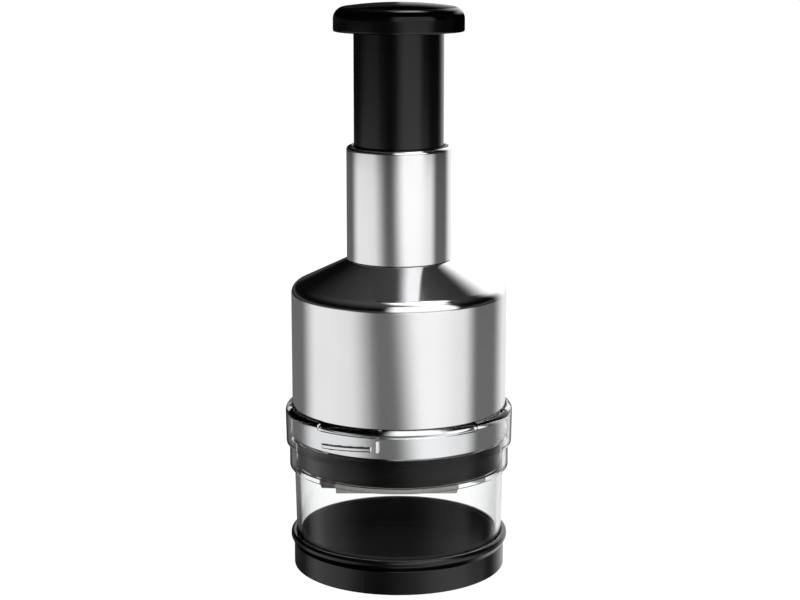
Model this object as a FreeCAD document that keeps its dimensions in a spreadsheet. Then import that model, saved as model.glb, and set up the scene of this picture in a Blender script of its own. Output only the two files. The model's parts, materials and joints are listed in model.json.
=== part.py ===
import FreeCAD, Part

import math
import os

import Sketcher
from FreeCAD import Placement, Rotation, Vector

# A plunger food chopper: a steel housing with a sprung plunger, a folded blade that drops and
# turns through a wiper disc, a clear container locked on by a twist, and a tray that closes it.
# Millimetres, +Z up, origin on the axis at the level that the foot ring stands on.
# The front is -Y.

doc = FreeCAD.newDocument("plunger_food_chopper")
sheet = doc.addObject("Spreadsheet::Sheet", "Sizes")


class Size:
    """A length or an angle: its number, and the sheet formula that the number comes from."""

    def __init__(self, number, formula):
        self.number = number
        self.formula = formula

    def joined(self, sign, other, number):
        return Size(number, f"({self.formula} {sign} {size(other).formula})")

    def __add__(self, other):
        return self.joined("+", other, self.number + size(other).number)

    def __sub__(self, other):
        return self.joined("-", other, self.number - size(other).number)

    def __rsub__(self, other):
        return size(other) - self

    def __mul__(self, other):
        return self.joined("*", other, self.number * size(other).number)

    def __truediv__(self, other):
        return self.joined("/", other, self.number / size(other).number)

    def __neg__(self):
        return Size(-self.number, f"(-{self.formula})")


def size(value):
    """A plain number as a Size, and a Size as it is."""
    if isinstance(value, Size):
        return value
    return Size(float(value), repr(float(value)))


def sine(angle):
    return Size(math.sin(math.radians(angle.number)), f"sin({angle.formula})")


def cosine(angle):
    return Size(math.cos(math.radians(angle.number)), f"cos({angle.formula})")


def slope(angle):
    return Size(math.tan(math.radians(angle.number)), f"tan({angle.formula})")


def driving(alias, number, words):
    """Write one driving dimension into the sheet and give it back as a Size."""
    driving.row += 1
    sheet.set(f"A{driving.row}", words)
    sheet.set(f"B{driving.row}", str(number))
    sheet.setAlias(f"B{driving.row}", alias)
    return Size(float(number), f"Sizes.{alias}")


driving.row = 0

# Driving dimensions of the steel housing
body_radius = driving("body_radius", 45.0, "outer radius of the steel body")
shell_wall = driving("shell_wall", 0.7, "sheet thickness of the body")
shell_foot = driving("shell_foot", 57.6, "height of the body's lower edge")
shoulder_round = driving("shoulder_round", 4.84, "outer radius of the shoulder's bend")
cone_slope = driving("cone_slope", 25.68, "degrees that the cone falls outwards")
neck_radius = driving("neck_radius", 21.67, "outer radius of the neck tube")
neck_wall = driving("neck_wall", 0.6, "sheet thickness of the neck tube")
neck_foot = driving("neck_foot", 131.7, "height where the neck meets the cone")
neck_seam = driving("neck_seam", 0.3, "open seam between neck and cone")
neck_top = driving("neck_top", 178.9, "height of the neck's rolled lip")
neck_lip_round = driving("neck_lip_round", 1.3, "outer radius of the rolled lip")

# Driving dimensions of the twist lock
lug_low = driving("lug_low", 60.4, "lower edge of the pressed lugs")
lug_high = driving("lug_high", 64.4, "upper edge of the pressed lugs")
lug_rise = driving("lug_rise", 0.9, "how far a lug stands out of the body")
lug_span = driving("lug_span", 29.4, "degrees that a lug covers")
lug_angle = driving("lug_angle", -118.6, "direction of the first lug's middle")
stop_angle = driving("stop_angle", -100.7, "direction of the first stop rib")
stop_span = driving("stop_span", 1.7, "degrees that a stop rib covers")
stop_low = driving("stop_low", 61.2, "lower end of the stop ribs")
entry_span = driving("entry_span", 32.0, "degrees that an entry gap in the lip covers")
entry_angle = driving("entry_angle", -151.0, "direction of the first entry gap")
lock_count = driving("lock_count", 3, "lugs, stops and entry gaps round the collar")
overrun = driving("overrun", 1.0, "how far a cut or a root runs past the face that it meets")

# Driving dimensions of the black liner inside the housing
liner_gap = driving("liner_gap", 0.1, "gap between sheet and liner")
liner_wall = driving("liner_wall", 2.0, "wall of the liner's bell")
skirt_radius = driving("skirt_radius", 43.0, "outer radius of the liner's skirt")
skirt_foot = driving("skirt_foot", 47.0, "height of the skirt's lower edge")
seat_radius = driving("seat_radius", 41.5, "inner radius of the wiper's seat")
seat_top = driving("seat_top", 50.3, "height of the wiper's seat")
bell_radius = driving("bell_radius", 40.2, "inner radius of the bell")
guide_radius = driving("guide_radius", 19.75, "inner radius of the guide tube")
guide_top = driving("guide_top", 177.4, "height of the guide tube's upper end")
shelf_low = driving("shelf_low", 118.0, "underside of the spring shelf")
shelf_top = driving("shelf_top", 121.0, "top of the spring shelf")
shelf_hole = driving("shelf_hole", 8.0, "radius of the hole in the shelf")
drum_radius = driving("drum_radius", 18.9, "inner radius of the index housing")
drum_foot = driving("drum_foot", 98.0, "lower edge of the index housing")
boss_ring = driving("boss_ring", 24.5, "radius that the screw bosses stand on")
boss_radius = driving("boss_radius", 3.4, "radius of a screw boss")
rib_width = driving("rib_width", 2.0, "width of the two ribs that keep the stem from turning")
rib_depth = driving("rib_depth", 1.0, "depth of those ribs")
bush_foot = driving("bush_foot", 168.0, "lower edge of the neck bushing")
bush_flange = driving("bush_flange", 20.2, "radius of the bushing's flange")
bush_top = driving("bush_top", 179.2, "height of the bushing's top")
bush_round = driving("bush_round", 0.5, "radius of the flange's edge")

# Driving dimensions of the plunger
stem_radius = driving("stem_radius", 18.57, "outer radius of the stem")
stem_wall = driving("stem_wall", 1.77, "wall of the stem")
stem_foot = driving("stem_foot", 164.0, "lower end of the stem")
stem_flange = driving("stem_flange", 19.45, "radius of the stem's stop flange")
flange_top = driving("flange_top", 167.6, "top of the stop flange")
stem_top = driving("stem_top", 229.5, "upper end of the stem, inside the knob")
slide_gap = driving("slide_gap", 0.28, "gap all round between stem and bushing")
knob_radius = driving("knob_radius", 26.9, "radius of the knob")
knob_foot = driving("knob_foot", 225.6, "underside of the knob")
knob_side = driving("knob_side", 230.62, "height where the knob's edge begins to round")
knob_round = driving("knob_round", 5.12, "radius of the knob's upper edge")
dome_slope = driving("dome_slope", 8.2, "degrees that the dome falls at its edge")
plug_foot = driving("plug_foot", 221.6, "lower end of the plug under the knob")
core_inner = driving("core_inner", 21.3, "inner radius of the hollow under the knob")
core_outer = driving("core_outer", 24.6, "outer radius of the hollow under the knob")
core_top = driving("core_top", 231.0, "top of the hollow under the knob")
knob_foot_round = driving("knob_foot_round", 0.5, "radius of the knob's lower edge")

# Driving dimensions of the spindle, its spring and its index
spindle_radius = driving("spindle_radius", 5.0, "radius of the spindle")
spindle_foot = driving("spindle_foot", 88.2, "lower end of the spindle")
spindle_top = driving("spindle_top", 220.2, "upper end of the spindle")
spindle_edge = driving("spindle_edge", 0.5, "bevel at the spindle's upper end")
running_gap = driving("running_gap", 0.06, "gap all round of a turning fit")
groove_depth = driving("groove_depth", 1.4, "depth of the spindle's index grooves")
groove_width = driving("groove_width", 2.4, "width of the index grooves")
groove_low = driving("groove_low", 99.0, "lower end of the index grooves")
groove_run = driving("groove_run", 45.0, "height of the index grooves")
groove_lead = driving("groove_lead", 420.0, "height in which a groove would go once round")
groove_count = driving("groove_count", 3, "index grooves and the nut's lugs")
nut_low = driving("nut_low", 100.2, "underside of the index nut")
nut_top = driving("nut_top", 112.0, "top of the index nut")
nut_radius = driving("nut_radius", 13.0, "radius of the nut under its teeth")
nut_lug_low = driving("nut_lug_low", 102.0, "underside of the nut's lugs")
nut_lug_tall = driving("nut_lug_tall", 2.4, "height of the nut's lugs")
nut_lug_width = driving("nut_lug_width", 1.7, "width of the nut's lugs")
nut_lug_reach = driving("nut_lug_reach", 3.9, "radius that the nut's lugs reach in to")
tooth_count = driving("tooth_count", 18, "ratchet teeth")
tooth_tip = driving("tooth_tip", 14.3, "radius of the ratchet teeth")
tooth_span = driving("tooth_span", 12.0, "degrees that one tooth covers")
pawl_low = driving("pawl_low", 104.0, "underside of the pawl ring")
pawl_top = driving("pawl_top", 108.0, "top of the pawl ring")
pawl_ring_in = driving("pawl_ring_in", 16.4, "inner radius of the pawl ring")
pawl_reach = driving("pawl_reach", 13.4, "radius that the pawls reach in to")
pawl_gap = driving("pawl_gap", 1.0, "degrees between a pawl and the tooth that it holds")
pawl_span = driving("pawl_span", 4.0, "degrees that a pawl's tip covers")
cover_low = driving("cover_low", 95.5, "underside of the index cover")
cover_radius = driving("cover_radius", 28.2, "radius of the index cover")
screw_radius = driving("screw_radius", 1.45, "radius of a cover screw's shank")
screw_head = driving("screw_head", 2.8, "radius of a cover screw's head")
screw_head_tall = driving("screw_head_tall", 1.7, "height of a cover screw's head")
screw_top = driving("screw_top", 107.0, "upper end of a cover screw")
spring_radius = driving("spring_radius", 12.0, "radius of the spring to the wire's middle")
spring_wire = driving("spring_wire", 0.8, "radius of the spring's wire")
spring_turns = driving("spring_turns", 11.0, "turns of the spring")
seat_washer_top = driving("seat_washer_top", 122.4, "top of the spring's seat washer")
seat_bore = driving("seat_bore", 9.0, "inner radius of the seat washer")
seat_rim = driving("seat_rim", 14.4, "outer radius of the seat washer")
bearing_low = driving("bearing_low", 212.0, "underside of the spindle's bearing disc")
bearing_top = driving("bearing_top", 217.0, "top of the bearing disc")
clip_low = driving("clip_low", 217.3, "underside of the spindle's clip")
clip_top = driving("clip_top", 218.2, "top of the clip")
clip_groove = driving("clip_groove", 4.2, "radius of the spindle inside the clip")
clip_radius = driving("clip_radius", 7.4, "outer radius of the clip")
clip_mouth = driving("clip_mouth", 6.7, "width of the clip's mouth")
thrust_radius = driving("thrust_radius", 7.0, "radius of the thrust washer")
thrust_low = driving("thrust_low", 220.4, "underside of the thrust washer")

# Driving dimensions of the blade, its hub and the wiper
blade_tip = driving("blade_tip", 38.5, "height of the cutting edge")
blade_top = driving("blade_top", 88.0, "height of the blade's upper edge")
blade_half = driving("blade_half", 0.4, "half the blade's thickness")
bevel_tall = driving("bevel_tall", 1.3, "height of the ground edge")
blade_land = driving("blade_land", 0.05, "half the width left at the cutting edge")
fold_radius = driving("fold_radius", 1.2, "radius of a fold at the blade's middle")
blade_end = driving("blade_end", -25.5, "where the blade's front run begins, across")
fold_x = [
    driving("fold_a_x", 22.4, "first fold, across"),
    driving("fold_b_x", -30.6, "second fold, across"),
    driving("fold_c_x", 34.3, "third fold, across"),
    driving("fold_d_x", -36.0, "fourth fold, across"),
]
fold_y = [
    driving("fold_a_y", -27.0, "first fold, front to back"),
    driving("fold_b_y", -19.6, "second fold, front to back"),
    driving("fold_c_y", -12.0, "third fold, front to back"),
    driving("fold_d_y", -4.05, "fourth fold, front to back"),
]
slot_half = driving("slot_half", 0.75, "half the width of the wiper's slot")
slot_end = driving("slot_end", 0.4, "how far the slot runs past the blade's ends")
wiper_radius = driving("wiper_radius", 41.2, "radius of the wiper")
wiper_low = driving("wiper_low", 47.1, "underside of the wiper")
wiper_top = driving("wiper_top", 50.1, "top of the wiper")
hub_radius = driving("hub_radius", 39.3, "radius of the blade hub")
hub_low = driving("hub_low", 86.0, "underside of the blade hub")
hub_top = driving("hub_top", 90.0, "top of the hub's disc")
hub_grip = driving("hub_grip", 0.45, "half the width of the groove that grips the blade")
hub_boss = driving("hub_boss", 10.0, "radius of the hub's boss")
hub_boss_top = driving("hub_boss_top", 94.4, "top of the hub's boss")
hub_hole = driving("hub_hole", 5.5, "radius of the lightening holes")
hub_hole_ring = driving("hub_hole_ring", 24.0, "radius that the lightening holes stand on")
hub_hole_count = driving("hub_hole_count", 6, "lightening holes")
pin_radius = driving("pin_radius", 1.25, "radius of the cross pin")
pin_height = driving("pin_height", 92.2, "height of the cross pin")
pin_half = driving("pin_half", 9.6, "half the length of the cross pin")
retainer_low = driving("retainer_low", 45.5, "underside of the retaining ring")
retainer_outer = driving("retainer_outer", 42.9, "outer radius of the retaining ring")
retainer_inner = driving("retainer_inner", 39.8, "inner radius of the retaining ring")

# Driving dimensions of the clear container
collar_top = driving("collar_top", 69.8, "height of the collar's top")
collar_radius = driving("collar_radius", 47.95, "outer radius at the collar's top")
collar_foot_radius = driving("collar_foot_radius", 47.65, "outer radius at the collar's foot")
collar_foot = driving("collar_foot", 53.85, "underside of the collar")
collar_round = driving("collar_round", 2.6, "radius of the collar's upper edge")
collar_inner = driving("collar_inner", 46.2, "inner radius of the collar")
lip_inner = driving("lip_inner", 45.3, "inner radius of the collar's lip")
lip_low = driving("lip_low", 66.6, "underside of the collar's lip")
ledge_top = driving("ledge_top", 57.3, "ledge that the body stands on")
band_radius = driving("band_radius", 46.3, "outer radius of the band below the collar")
band_low = driving("band_low", 43.4, "underside of the band")
band_inner = driving("band_inner", 44.1, "inner radius of the band")
wall_radius = driving("wall_radius", 44.25, "outer radius of the wall under the band")
wall_top = driving("wall_top", 45.0, "step inside, where the wall ends")
wall_foot_radius = driving("wall_foot_radius", 43.4, "outer radius at the wall's foot")
wall_foot = driving("wall_foot", 4.5, "height of the wall's foot")
wall_thick = driving("wall_thick", 1.9, "thickness of the container's wall")
band_round = driving("band_round", 0.6, "radius of the band's lower edge")
step_round = driving("step_round", 0.5, "radius of the collar's lower edge")
inner_round = driving("inner_round", 0.4, "radius of the step inside")

# Driving dimensions of the tray
tray_radius = driving("tray_radius", 44.75, "outer radius of the tray")
tray_low = driving("tray_low", 0.3, "underside of the tray")
tray_edge = driving("tray_edge", 0.6, "radius of the tray's lower edge")
rim_radius = driving("rim_radius", 46.05, "outer radius of the tray's rim")
rim_low = driving("rim_low", 10.4, "underside of the rim")
rim_top = driving("rim_top", 14.6, "top of the rim")
rim_round = driving("rim_round", 1.1, "radius of the rim's edges")
channel_outer = driving("channel_outer", 43.9, "outer radius of the tray's channel")
channel_inner = driving("channel_inner", 41.1, "inner radius of the channel")
channel_floor = driving("channel_floor", 3.0, "floor of the channel")
inner_top = driving("inner_top", 15.1, "top of the tray's inner wall")
inner_radius = driving("inner_radius", 39.4, "inner radius of the inner wall")
tray_floor = driving("tray_floor", 3.0, "floor that the blade meets")
floor_round = driving("floor_round", 2.0, "radius where the floor meets the wall")
inner_edge = driving("inner_edge", 0.6, "radius of the inner wall's edges")
seal_top = driving("seal_top", 4.4, "top of the seal")
seal_gap = driving("seal_gap", 0.15, "gap at each side of the seal")
foot_inner = driving("foot_inner", 35.5, "inner radius of the foot ring")
foot_outer = driving("foot_outer", 39.5, "outer radius of the foot ring")
foot_groove_top = driving("foot_groove_top", 1.5, "top of the foot ring's groove")

zero = size(0)


def origin_feature(body, role):
    return next(item for item in body.Origin.OriginFeatures if item.Role == role)


def new_body(name):
    body = doc.addObject("PartDesign::Body", name)
    body.Label = name
    return body


def new_sketch(body, name, plane, turn=None, lift=None):
    """An empty sketch on an origin plane, turned about Z or moved off along its normal."""
    sketch = body.newObject("Sketcher::SketchObject", f"{body.Label}_{name}")
    sketch.AttachmentSupport = [(origin_feature(body, plane), "")]
    sketch.MapMode = "FlatFace"
    if turn is not None:
        sketch.AttachmentOffset = Placement(Vector(), Rotation(Vector(0, 1, 0), turn.number))
        sketch.setExpression("AttachmentOffset.Rotation.Angle", turn.formula)
    if lift is not None:
        sketch.AttachmentOffset = Placement(Vector(0, 0, lift.number), Rotation())
        sketch.setExpression("AttachmentOffset.Base.z", lift.formula)
    return sketch


def bind(sketch, constraint, value):
    index = sketch.addConstraint(constraint)
    sketch.setExpression(f"Constraints[{index}]", value.formula)


def hold(sketch, edge, end, across, up):
    """Hold a point of an edge at its distances from the sketch's origin."""
    for kind, axis, value in (("DistanceX", -2, size(across)), ("DistanceY", -1, size(up))):
        if abs(value.number) < 1e-9:
            sketch.addConstraint(Sketcher.Constraint("PointOnObject", edge, end, axis))
        elif value.number > 0:
            bind(sketch, Sketcher.Constraint(kind, -1, 1, edge, end, value.number), value)
        else:
            bind(sketch, Sketcher.Constraint(kind, edge, end, -1, 1, -value.number), -value)


def arc_through(start, end, bend):
    """The arc under a half circle from start to end, turning left where bend is above zero."""
    chord = end - start
    rise = math.sqrt(bend * bend - chord.Length * chord.Length / 4)
    left = Vector(-chord.y, chord.x, 0).normalize()
    centre = (start + end) / 2 + left * math.copysign(rise, bend)
    first, last = (start, end) if bend > 0 else (end, start)
    angles = [math.atan2(point.y - centre.y, point.x - centre.x) for point in (first, last)]
    return Part.ArcOfCircle(Part.Circle(centre, Vector(0, 0, 1), abs(bend)), *angles)


def draw_outline(sketch, corners):
    """A closed outline. A corner is its distance across and up and, where an arc arrives at it,
    the arc's radius: above zero where the arc turns left, below zero where it turns right."""
    joints = []
    for index, corner in enumerate(corners):
        following = corners[(index + 1) % len(corners)]
        start = Vector(size(corner[0]).number, size(corner[1]).number, 0)
        end = Vector(size(following[0]).number, size(following[1]).number, 0)
        if len(following) == 2:
            edge = sketch.addGeometry(Part.LineSegment(start, end))
            joints.append((edge, 1, 2))
            continue
        bend = size(following[2])
        edge = sketch.addGeometry(arc_through(start, end, bend.number))
        joints.append((edge, 1, 2) if bend.number > 0 else (edge, 2, 1))
        radius = bend if bend.number > 0 else -bend
        bind(sketch, Sketcher.Constraint("Radius", edge, radius.number), radius)
    for index, (edge, first, last) in enumerate(joints):
        after, after_first, after_last = joints[(index + 1) % len(joints)]
        sketch.addConstraint(Sketcher.Constraint("Coincident", edge, last, after, after_first))
        hold(sketch, edge, first, corners[index][0], corners[index][1])


def draw_circle(sketch, across, up, radius):
    circle = Part.Circle(Vector(size(across).number, size(up).number, 0), Vector(0, 0, 1), radius.number)
    edge = sketch.addGeometry(circle)
    if size(across).number == 0 and size(up).number == 0:
        sketch.addConstraint(Sketcher.Constraint("Coincident", edge, 3, -1, 1))
    else:
        hold(sketch, edge, 3, across, up)
    bind(sketch, Sketcher.Constraint("Radius", edge, radius.number), radius)


def set_bound(feature, name, value):
    setattr(feature, name, value.number)
    feature.setExpression(name, value.formula)


def turned(body, name, corners, cut=False, centre=None, span=None):
    """Turn an outline about Z: all the way round, or over a span about the direction centre."""
    sketch = new_sketch(body, f"{name}_outline", "XZ_Plane", turn=centre)
    draw_outline(sketch, corners)
    kind = "PartDesign::Groove" if cut else "PartDesign::Revolution"
    feature = body.newObject(kind, f"{body.Label}_{name}")
    feature.Profile = sketch
    feature.ReferenceAxis = (sketch, ["V_Axis"])
    if span is not None:
        feature.Midplane = True
        set_bound(feature, "Angle", span)
    return feature


def raised(body, name, draw, low, high, cut=False):
    """Fill or cut between two heights what draw puts into a level sketch."""
    sketch = new_sketch(body, f"{name}_outline", "XY_Plane", lift=high if cut else low)
    draw(sketch)
    feature = body.newObject("PartDesign::Pocket" if cut else "PartDesign::Pad", f"{body.Label}_{name}")
    feature.Profile = sketch
    set_bound(feature, "Length", high - low)
    return feature


def repeated(body, name, features, count):
    """Repeat features evenly about Z."""
    pattern = body.newObject("PartDesign::PolarPattern", f"{body.Label}_{name}")
    pattern.Originals = features
    pattern.Axis = (origin_feature(body, "Z_Axis"), [""])
    pattern.Angle = 360
    pattern.Occurrences = round(count.number)
    pattern.setExpression("Occurrences", count.formula)
    body.Tip = pattern
    return pattern


def ring_corners(inner, outer, low, high):
    return [(inner, low), (outer, low), (outer, high), (inner, high)]


def polar(radius, angle):
    return radius * cosine(angle), radius * sine(angle)


def shoulder(inset):
    """Both ends of the shoulder's bend, on a face this far inside the steel's outer face."""
    bend = shoulder_round - inset
    bend_centre = body_radius - shoulder_round
    fall = (bend_centre + shoulder_round * sine(cone_slope) - neck_radius) * slope(cone_slope)
    level = neck_foot - fall - shoulder_round * cosine(cone_slope)
    low = (body_radius - inset, level)
    high = (bend_centre + bend * sine(cone_slope), level + bend * cosine(cone_slope))
    return low, high, bend


def cone_height(inset, radius):
    """Height of the cone at a radius, on a face this far inside the steel's outer face."""
    low, high, bend = shoulder(inset)
    return high[1] + (high[0] - radius) * slope(cone_slope)


def spoke(inner, outer, width, angle):
    """A level bar that points away from the axis."""
    corners = []
    for reach, side in ((inner, -width / 2), (outer, -width / 2), (outer, width / 2), (inner, width / 2)):
        across = reach * cosine(angle) - side * sine(angle)
        corners.append((across, reach * sine(angle) + side * cosine(angle)))
    return corners


def make_neck_sleeve():
    body = new_body("neck_sleeve")
    inner = neck_radius - neck_wall
    lip = neck_radius - neck_lip_round
    turned(body, "tube", [
        (inner, neck_foot + neck_seam),
        (neck_radius, neck_foot + neck_seam),
        (neck_radius, neck_top - neck_lip_round),
        (lip, neck_top, neck_lip_round),
        (lip, neck_top - neck_wall),
        (inner, neck_top - neck_lip_round, neck_wall - neck_lip_round),
    ])
    return body


def make_housing_shell():
    body = new_body("housing_shell")
    low, high, bend = shoulder(zero)
    inner_low, inner_high, inner_bend = shoulder(shell_wall)
    hole = neck_radius - neck_wall
    turned(body, "sheet", [
        (body_radius, shell_foot),
        low,
        (*high, bend),
        (neck_radius, neck_foot),
        (hole, neck_foot),
        (hole, cone_height(shell_wall, hole)),
        inner_high,
        (*inner_low, -inner_bend),
        (body_radius - shell_wall, shell_foot),
    ])
    crest = body_radius + lug_rise
    lug = turned(body, "lug", [
        (body_radius - shell_wall / 2, lug_low),
        (body_radius, lug_low),
        (crest, lug_low + lug_rise, lug_rise),
        (crest, lug_high - lug_rise),
        (body_radius, lug_high, lug_rise),
        (body_radius - shell_wall / 2, lug_high),
    ], centre=lug_angle, span=lug_span)
    repeated(body, "lugs", [lug], lock_count)
    return body


def make_guide_body():
    body = new_body("guide_body")
    outside = shell_wall + liner_gap
    inside = outside + liner_wall
    low, high, bend = shoulder(outside)
    inner_low, inner_high, inner_bend = shoulder(inside)
    tube = neck_radius - neck_wall - liner_gap
    turned(body, "bell", [
        (seat_radius, skirt_foot),
        (skirt_radius, skirt_foot),
        (skirt_radius, shell_foot),
        (body_radius - outside, shell_foot),
        low,
        (*high, bend),
        (tube, cone_height(outside, tube)),
        (tube, guide_top),
        (guide_radius, guide_top),
        (guide_radius, shelf_top),
        (shelf_hole, shelf_top),
        (shelf_hole, shelf_low),
        (drum_radius, shelf_low),
        (drum_radius, drum_foot),
        (tube, drum_foot),
        (tube, cone_height(inside, tube)),
        inner_high,
        (*inner_low, -inner_bend),
        (body_radius - inside, shell_foot + liner_wall),
        (bell_radius, shell_foot),
        (bell_radius, seat_top),
        (seat_radius, seat_top),
    ])
    boss = raised(body, "boss", lambda sketch: draw_circle(sketch, boss_ring, 0, boss_radius),
                  drum_foot, cone_height(outside, boss_ring + boss_radius) - liner_gap)
    bore = screw_radius + running_gap
    hole = raised(body, "boss_hole", lambda sketch: draw_circle(sketch, boss_ring, 0, bore),
                  drum_foot, screw_top + screw_head_tall, cut=True)
    repeated(body, "bosses", [boss, hole], lock_count)
    rib = raised(body, "rib", lambda sketch: draw_outline(
        sketch, spoke(guide_radius - rib_depth, guide_radius + overrun / 2, rib_width, zero)),
        shelf_top, bush_foot)
    repeated(body, "ribs", [rib], size(2))
    return body


def make_neck_bushing():
    body = new_body("neck_bushing")
    bore = stem_radius + slide_gap
    turned(body, "bushing", [
        (bore, bush_foot),
        (guide_radius - running_gap, bush_foot),
        (guide_radius - running_gap, guide_top),
        (bush_flange, guide_top),
        (bush_flange, bush_top - bush_round),
        (bush_flange - bush_round, bush_top, bush_round),
        (bore, bush_top),
    ])
    return body


def make_spring_seat():
    body = new_body("spring_seat")
    lip = spring_radius - spring_wire - slide_gap
    turned(body, "washer", [
        (seat_bore, shelf_top),
        (seat_rim, shelf_top),
        (seat_rim, seat_washer_top),
        (lip, seat_washer_top),
        (lip, seat_washer_top + spring_wire * 2),
        (seat_bore, seat_washer_top + spring_wire * 2),
    ])
    return body


def make_return_spring():
    body = new_body("return_spring")
    section = new_sketch(body, "wire", "XZ_Plane")
    draw_circle(section, spring_radius, seat_washer_top + spring_wire, spring_wire)
    helix = body.newObject("PartDesign::AdditiveHelix", "return_spring_coil")
    helix.Profile = section
    helix.ReferenceAxis = (section, ["V_Axis"])
    helix.Mode = "height-turns-angle"
    set_bound(helix, "Height", bearing_low - seat_washer_top - spring_wire * 2)
    set_bound(helix, "Turns", spring_turns)
    return body


def make_index_nut():
    body = new_body("index_nut")
    bore = spindle_radius + running_gap
    turned(body, "nut", [
        (bore, nut_low),
        (tooth_tip, nut_low),
        (tooth_tip, nut_lug_low),
        (nut_radius, nut_lug_low),
        (nut_radius, nut_top),
        (bore, nut_top),
    ])
    root = nut_radius - overrun / 2
    tooth = raised(body, "tooth", lambda sketch: draw_outline(sketch, [
        (root, 0),
        (tooth_tip, 0),
        polar(root, tooth_span),
    ]), nut_lug_low, pawl_top)
    repeated(body, "teeth", [tooth], tooth_count)
    middle = nut_lug_low + nut_lug_tall / 2
    meet_angle = (middle - groove_low) / groove_lead * 360
    lug = raised(body, "lug", lambda sketch: draw_outline(
        sketch, spoke(nut_lug_reach, bore + overrun, nut_lug_width, meet_angle)),
        nut_lug_low, nut_lug_low + nut_lug_tall)
    repeated(body, "lugs", [lug], groove_count)
    return body


def make_pawl_ring():
    body = new_body("pawl_ring")
    turned(body, "ring", ring_corners(pawl_ring_in, drum_radius - running_gap, pawl_low, pawl_top))
    face = size(360) / tooth_count - pawl_gap
    pawl = raised(body, "pawl", lambda sketch: draw_outline(sketch, [
        polar(pawl_reach, face - pawl_span),
        polar(pawl_ring_in + overrun, tooth_span),
        polar(pawl_ring_in + overrun, face),
        polar(pawl_reach, face),
    ]), pawl_low, pawl_top)
    repeated(body, "pawls", [pawl], lock_count)
    return body


def make_index_cover():
    body = new_body("index_cover")
    spigot = drum_radius - running_gap
    turned(body, "plate", [
        (shelf_hole, cover_low),
        (cover_radius, cover_low),
        (cover_radius, drum_foot),
        (spigot, drum_foot),
        (spigot, nut_low),
        (hub_boss, nut_low),
        (hub_boss, drum_foot),
        (shelf_hole, drum_foot),
    ])
    bore = screw_radius + running_gap
    hole = raised(body, "hole", lambda sketch: draw_circle(sketch, boss_ring, 0, bore),
                  cover_low, drum_foot, cut=True)
    repeated(body, "holes", [hole], lock_count)
    return body


def make_cover_screws():
    body = new_body("cover_screws")
    head_low = cover_low - screw_head_tall
    head = raised(body, "head", lambda sketch: draw_circle(sketch, boss_ring, 0, screw_head),
                  head_low, cover_low)
    shank = raised(body, "shank", lambda sketch: draw_circle(sketch, boss_ring, 0, screw_radius),
                   cover_low, screw_top)
    bar = screw_radius
    slot = raised(body, "slot", lambda sketch: draw_outline(
        sketch, spoke(boss_ring - bar, boss_ring + bar, screw_radius / 2, zero)),
        head_low, head_low + screw_head_tall / 2, cut=True)
    repeated(body, "screws", [head, shank, slot], lock_count)
    return body


def make_wiper_retainer():
    body = new_body("wiper_retainer")
    edge = skirt_foot - retainer_low
    turned(body, "ring", [
        (retainer_inner, retainer_low),
        (retainer_outer - edge / 2, retainer_low),
        (retainer_outer, retainer_low + edge / 2, edge / 2),
        (retainer_outer, skirt_foot),
        (retainer_inner, skirt_foot),
    ])
    return body


def make_plunger_stem():
    body = new_body("plunger_stem")
    inner = stem_radius - stem_wall
    turned(body, "tube", [
        (inner, stem_foot),
        (stem_flange, stem_foot),
        (stem_flange, flange_top),
        (stem_radius, flange_top),
        (stem_radius, stem_top),
        (inner, stem_top),
    ])
    notch = raised(body, "notch", lambda sketch: draw_outline(sketch, spoke(
        guide_radius - rib_depth - slide_gap, guide_radius + overrun, rib_width + slide_gap * 2, zero)),
        stem_foot, flange_top, cut=True)
    repeated(body, "notches", [notch], size(2))
    return body


def make_plunger_knob():
    body = new_body("plunger_knob")
    plug = stem_radius - stem_wall - running_gap
    socket = stem_radius + running_gap
    bend_centre = knob_radius - knob_round
    dome = bend_centre / sine(dome_slope) + knob_round
    dome_edge = (bend_centre + knob_round * sine(dome_slope), knob_side + knob_round * cosine(dome_slope))
    apex = dome_edge[1] + dome - dome * cosine(dome_slope)
    turned(body, "cap", [
        (0, plug_foot),
        (plug, plug_foot),
        (plug, stem_top),
        (socket, stem_top),
        (socket, knob_foot),
        (core_inner, knob_foot),
        (core_inner, core_top),
        (core_outer, core_top),
        (core_outer, knob_foot),
        (knob_radius - knob_foot_round, knob_foot),
        (knob_radius, knob_foot + knob_foot_round, knob_foot_round),
        (knob_radius, knob_side),
        (*dome_edge, knob_round),
        (0, apex, dome),
    ])
    return body


def make_spindle_bearing():
    body = new_body("spindle_bearing")
    bore = spindle_radius + running_gap
    spigot = spring_radius - spring_wire - slide_gap
    turned(body, "disc", [
        (bore, bearing_low - spring_wire * 2),
        (spigot, bearing_low - spring_wire * 2),
        (spigot, bearing_low),
        (stem_radius - stem_wall - running_gap, bearing_low),
        (stem_radius - stem_wall - running_gap, bearing_top),
        (bore, bearing_top),
    ])
    return body


def make_thrust_washer():
    body = new_body("thrust_washer")
    turned(body, "disc", ring_corners(screw_radius, thrust_radius, thrust_low, plug_foot))
    return body


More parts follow.
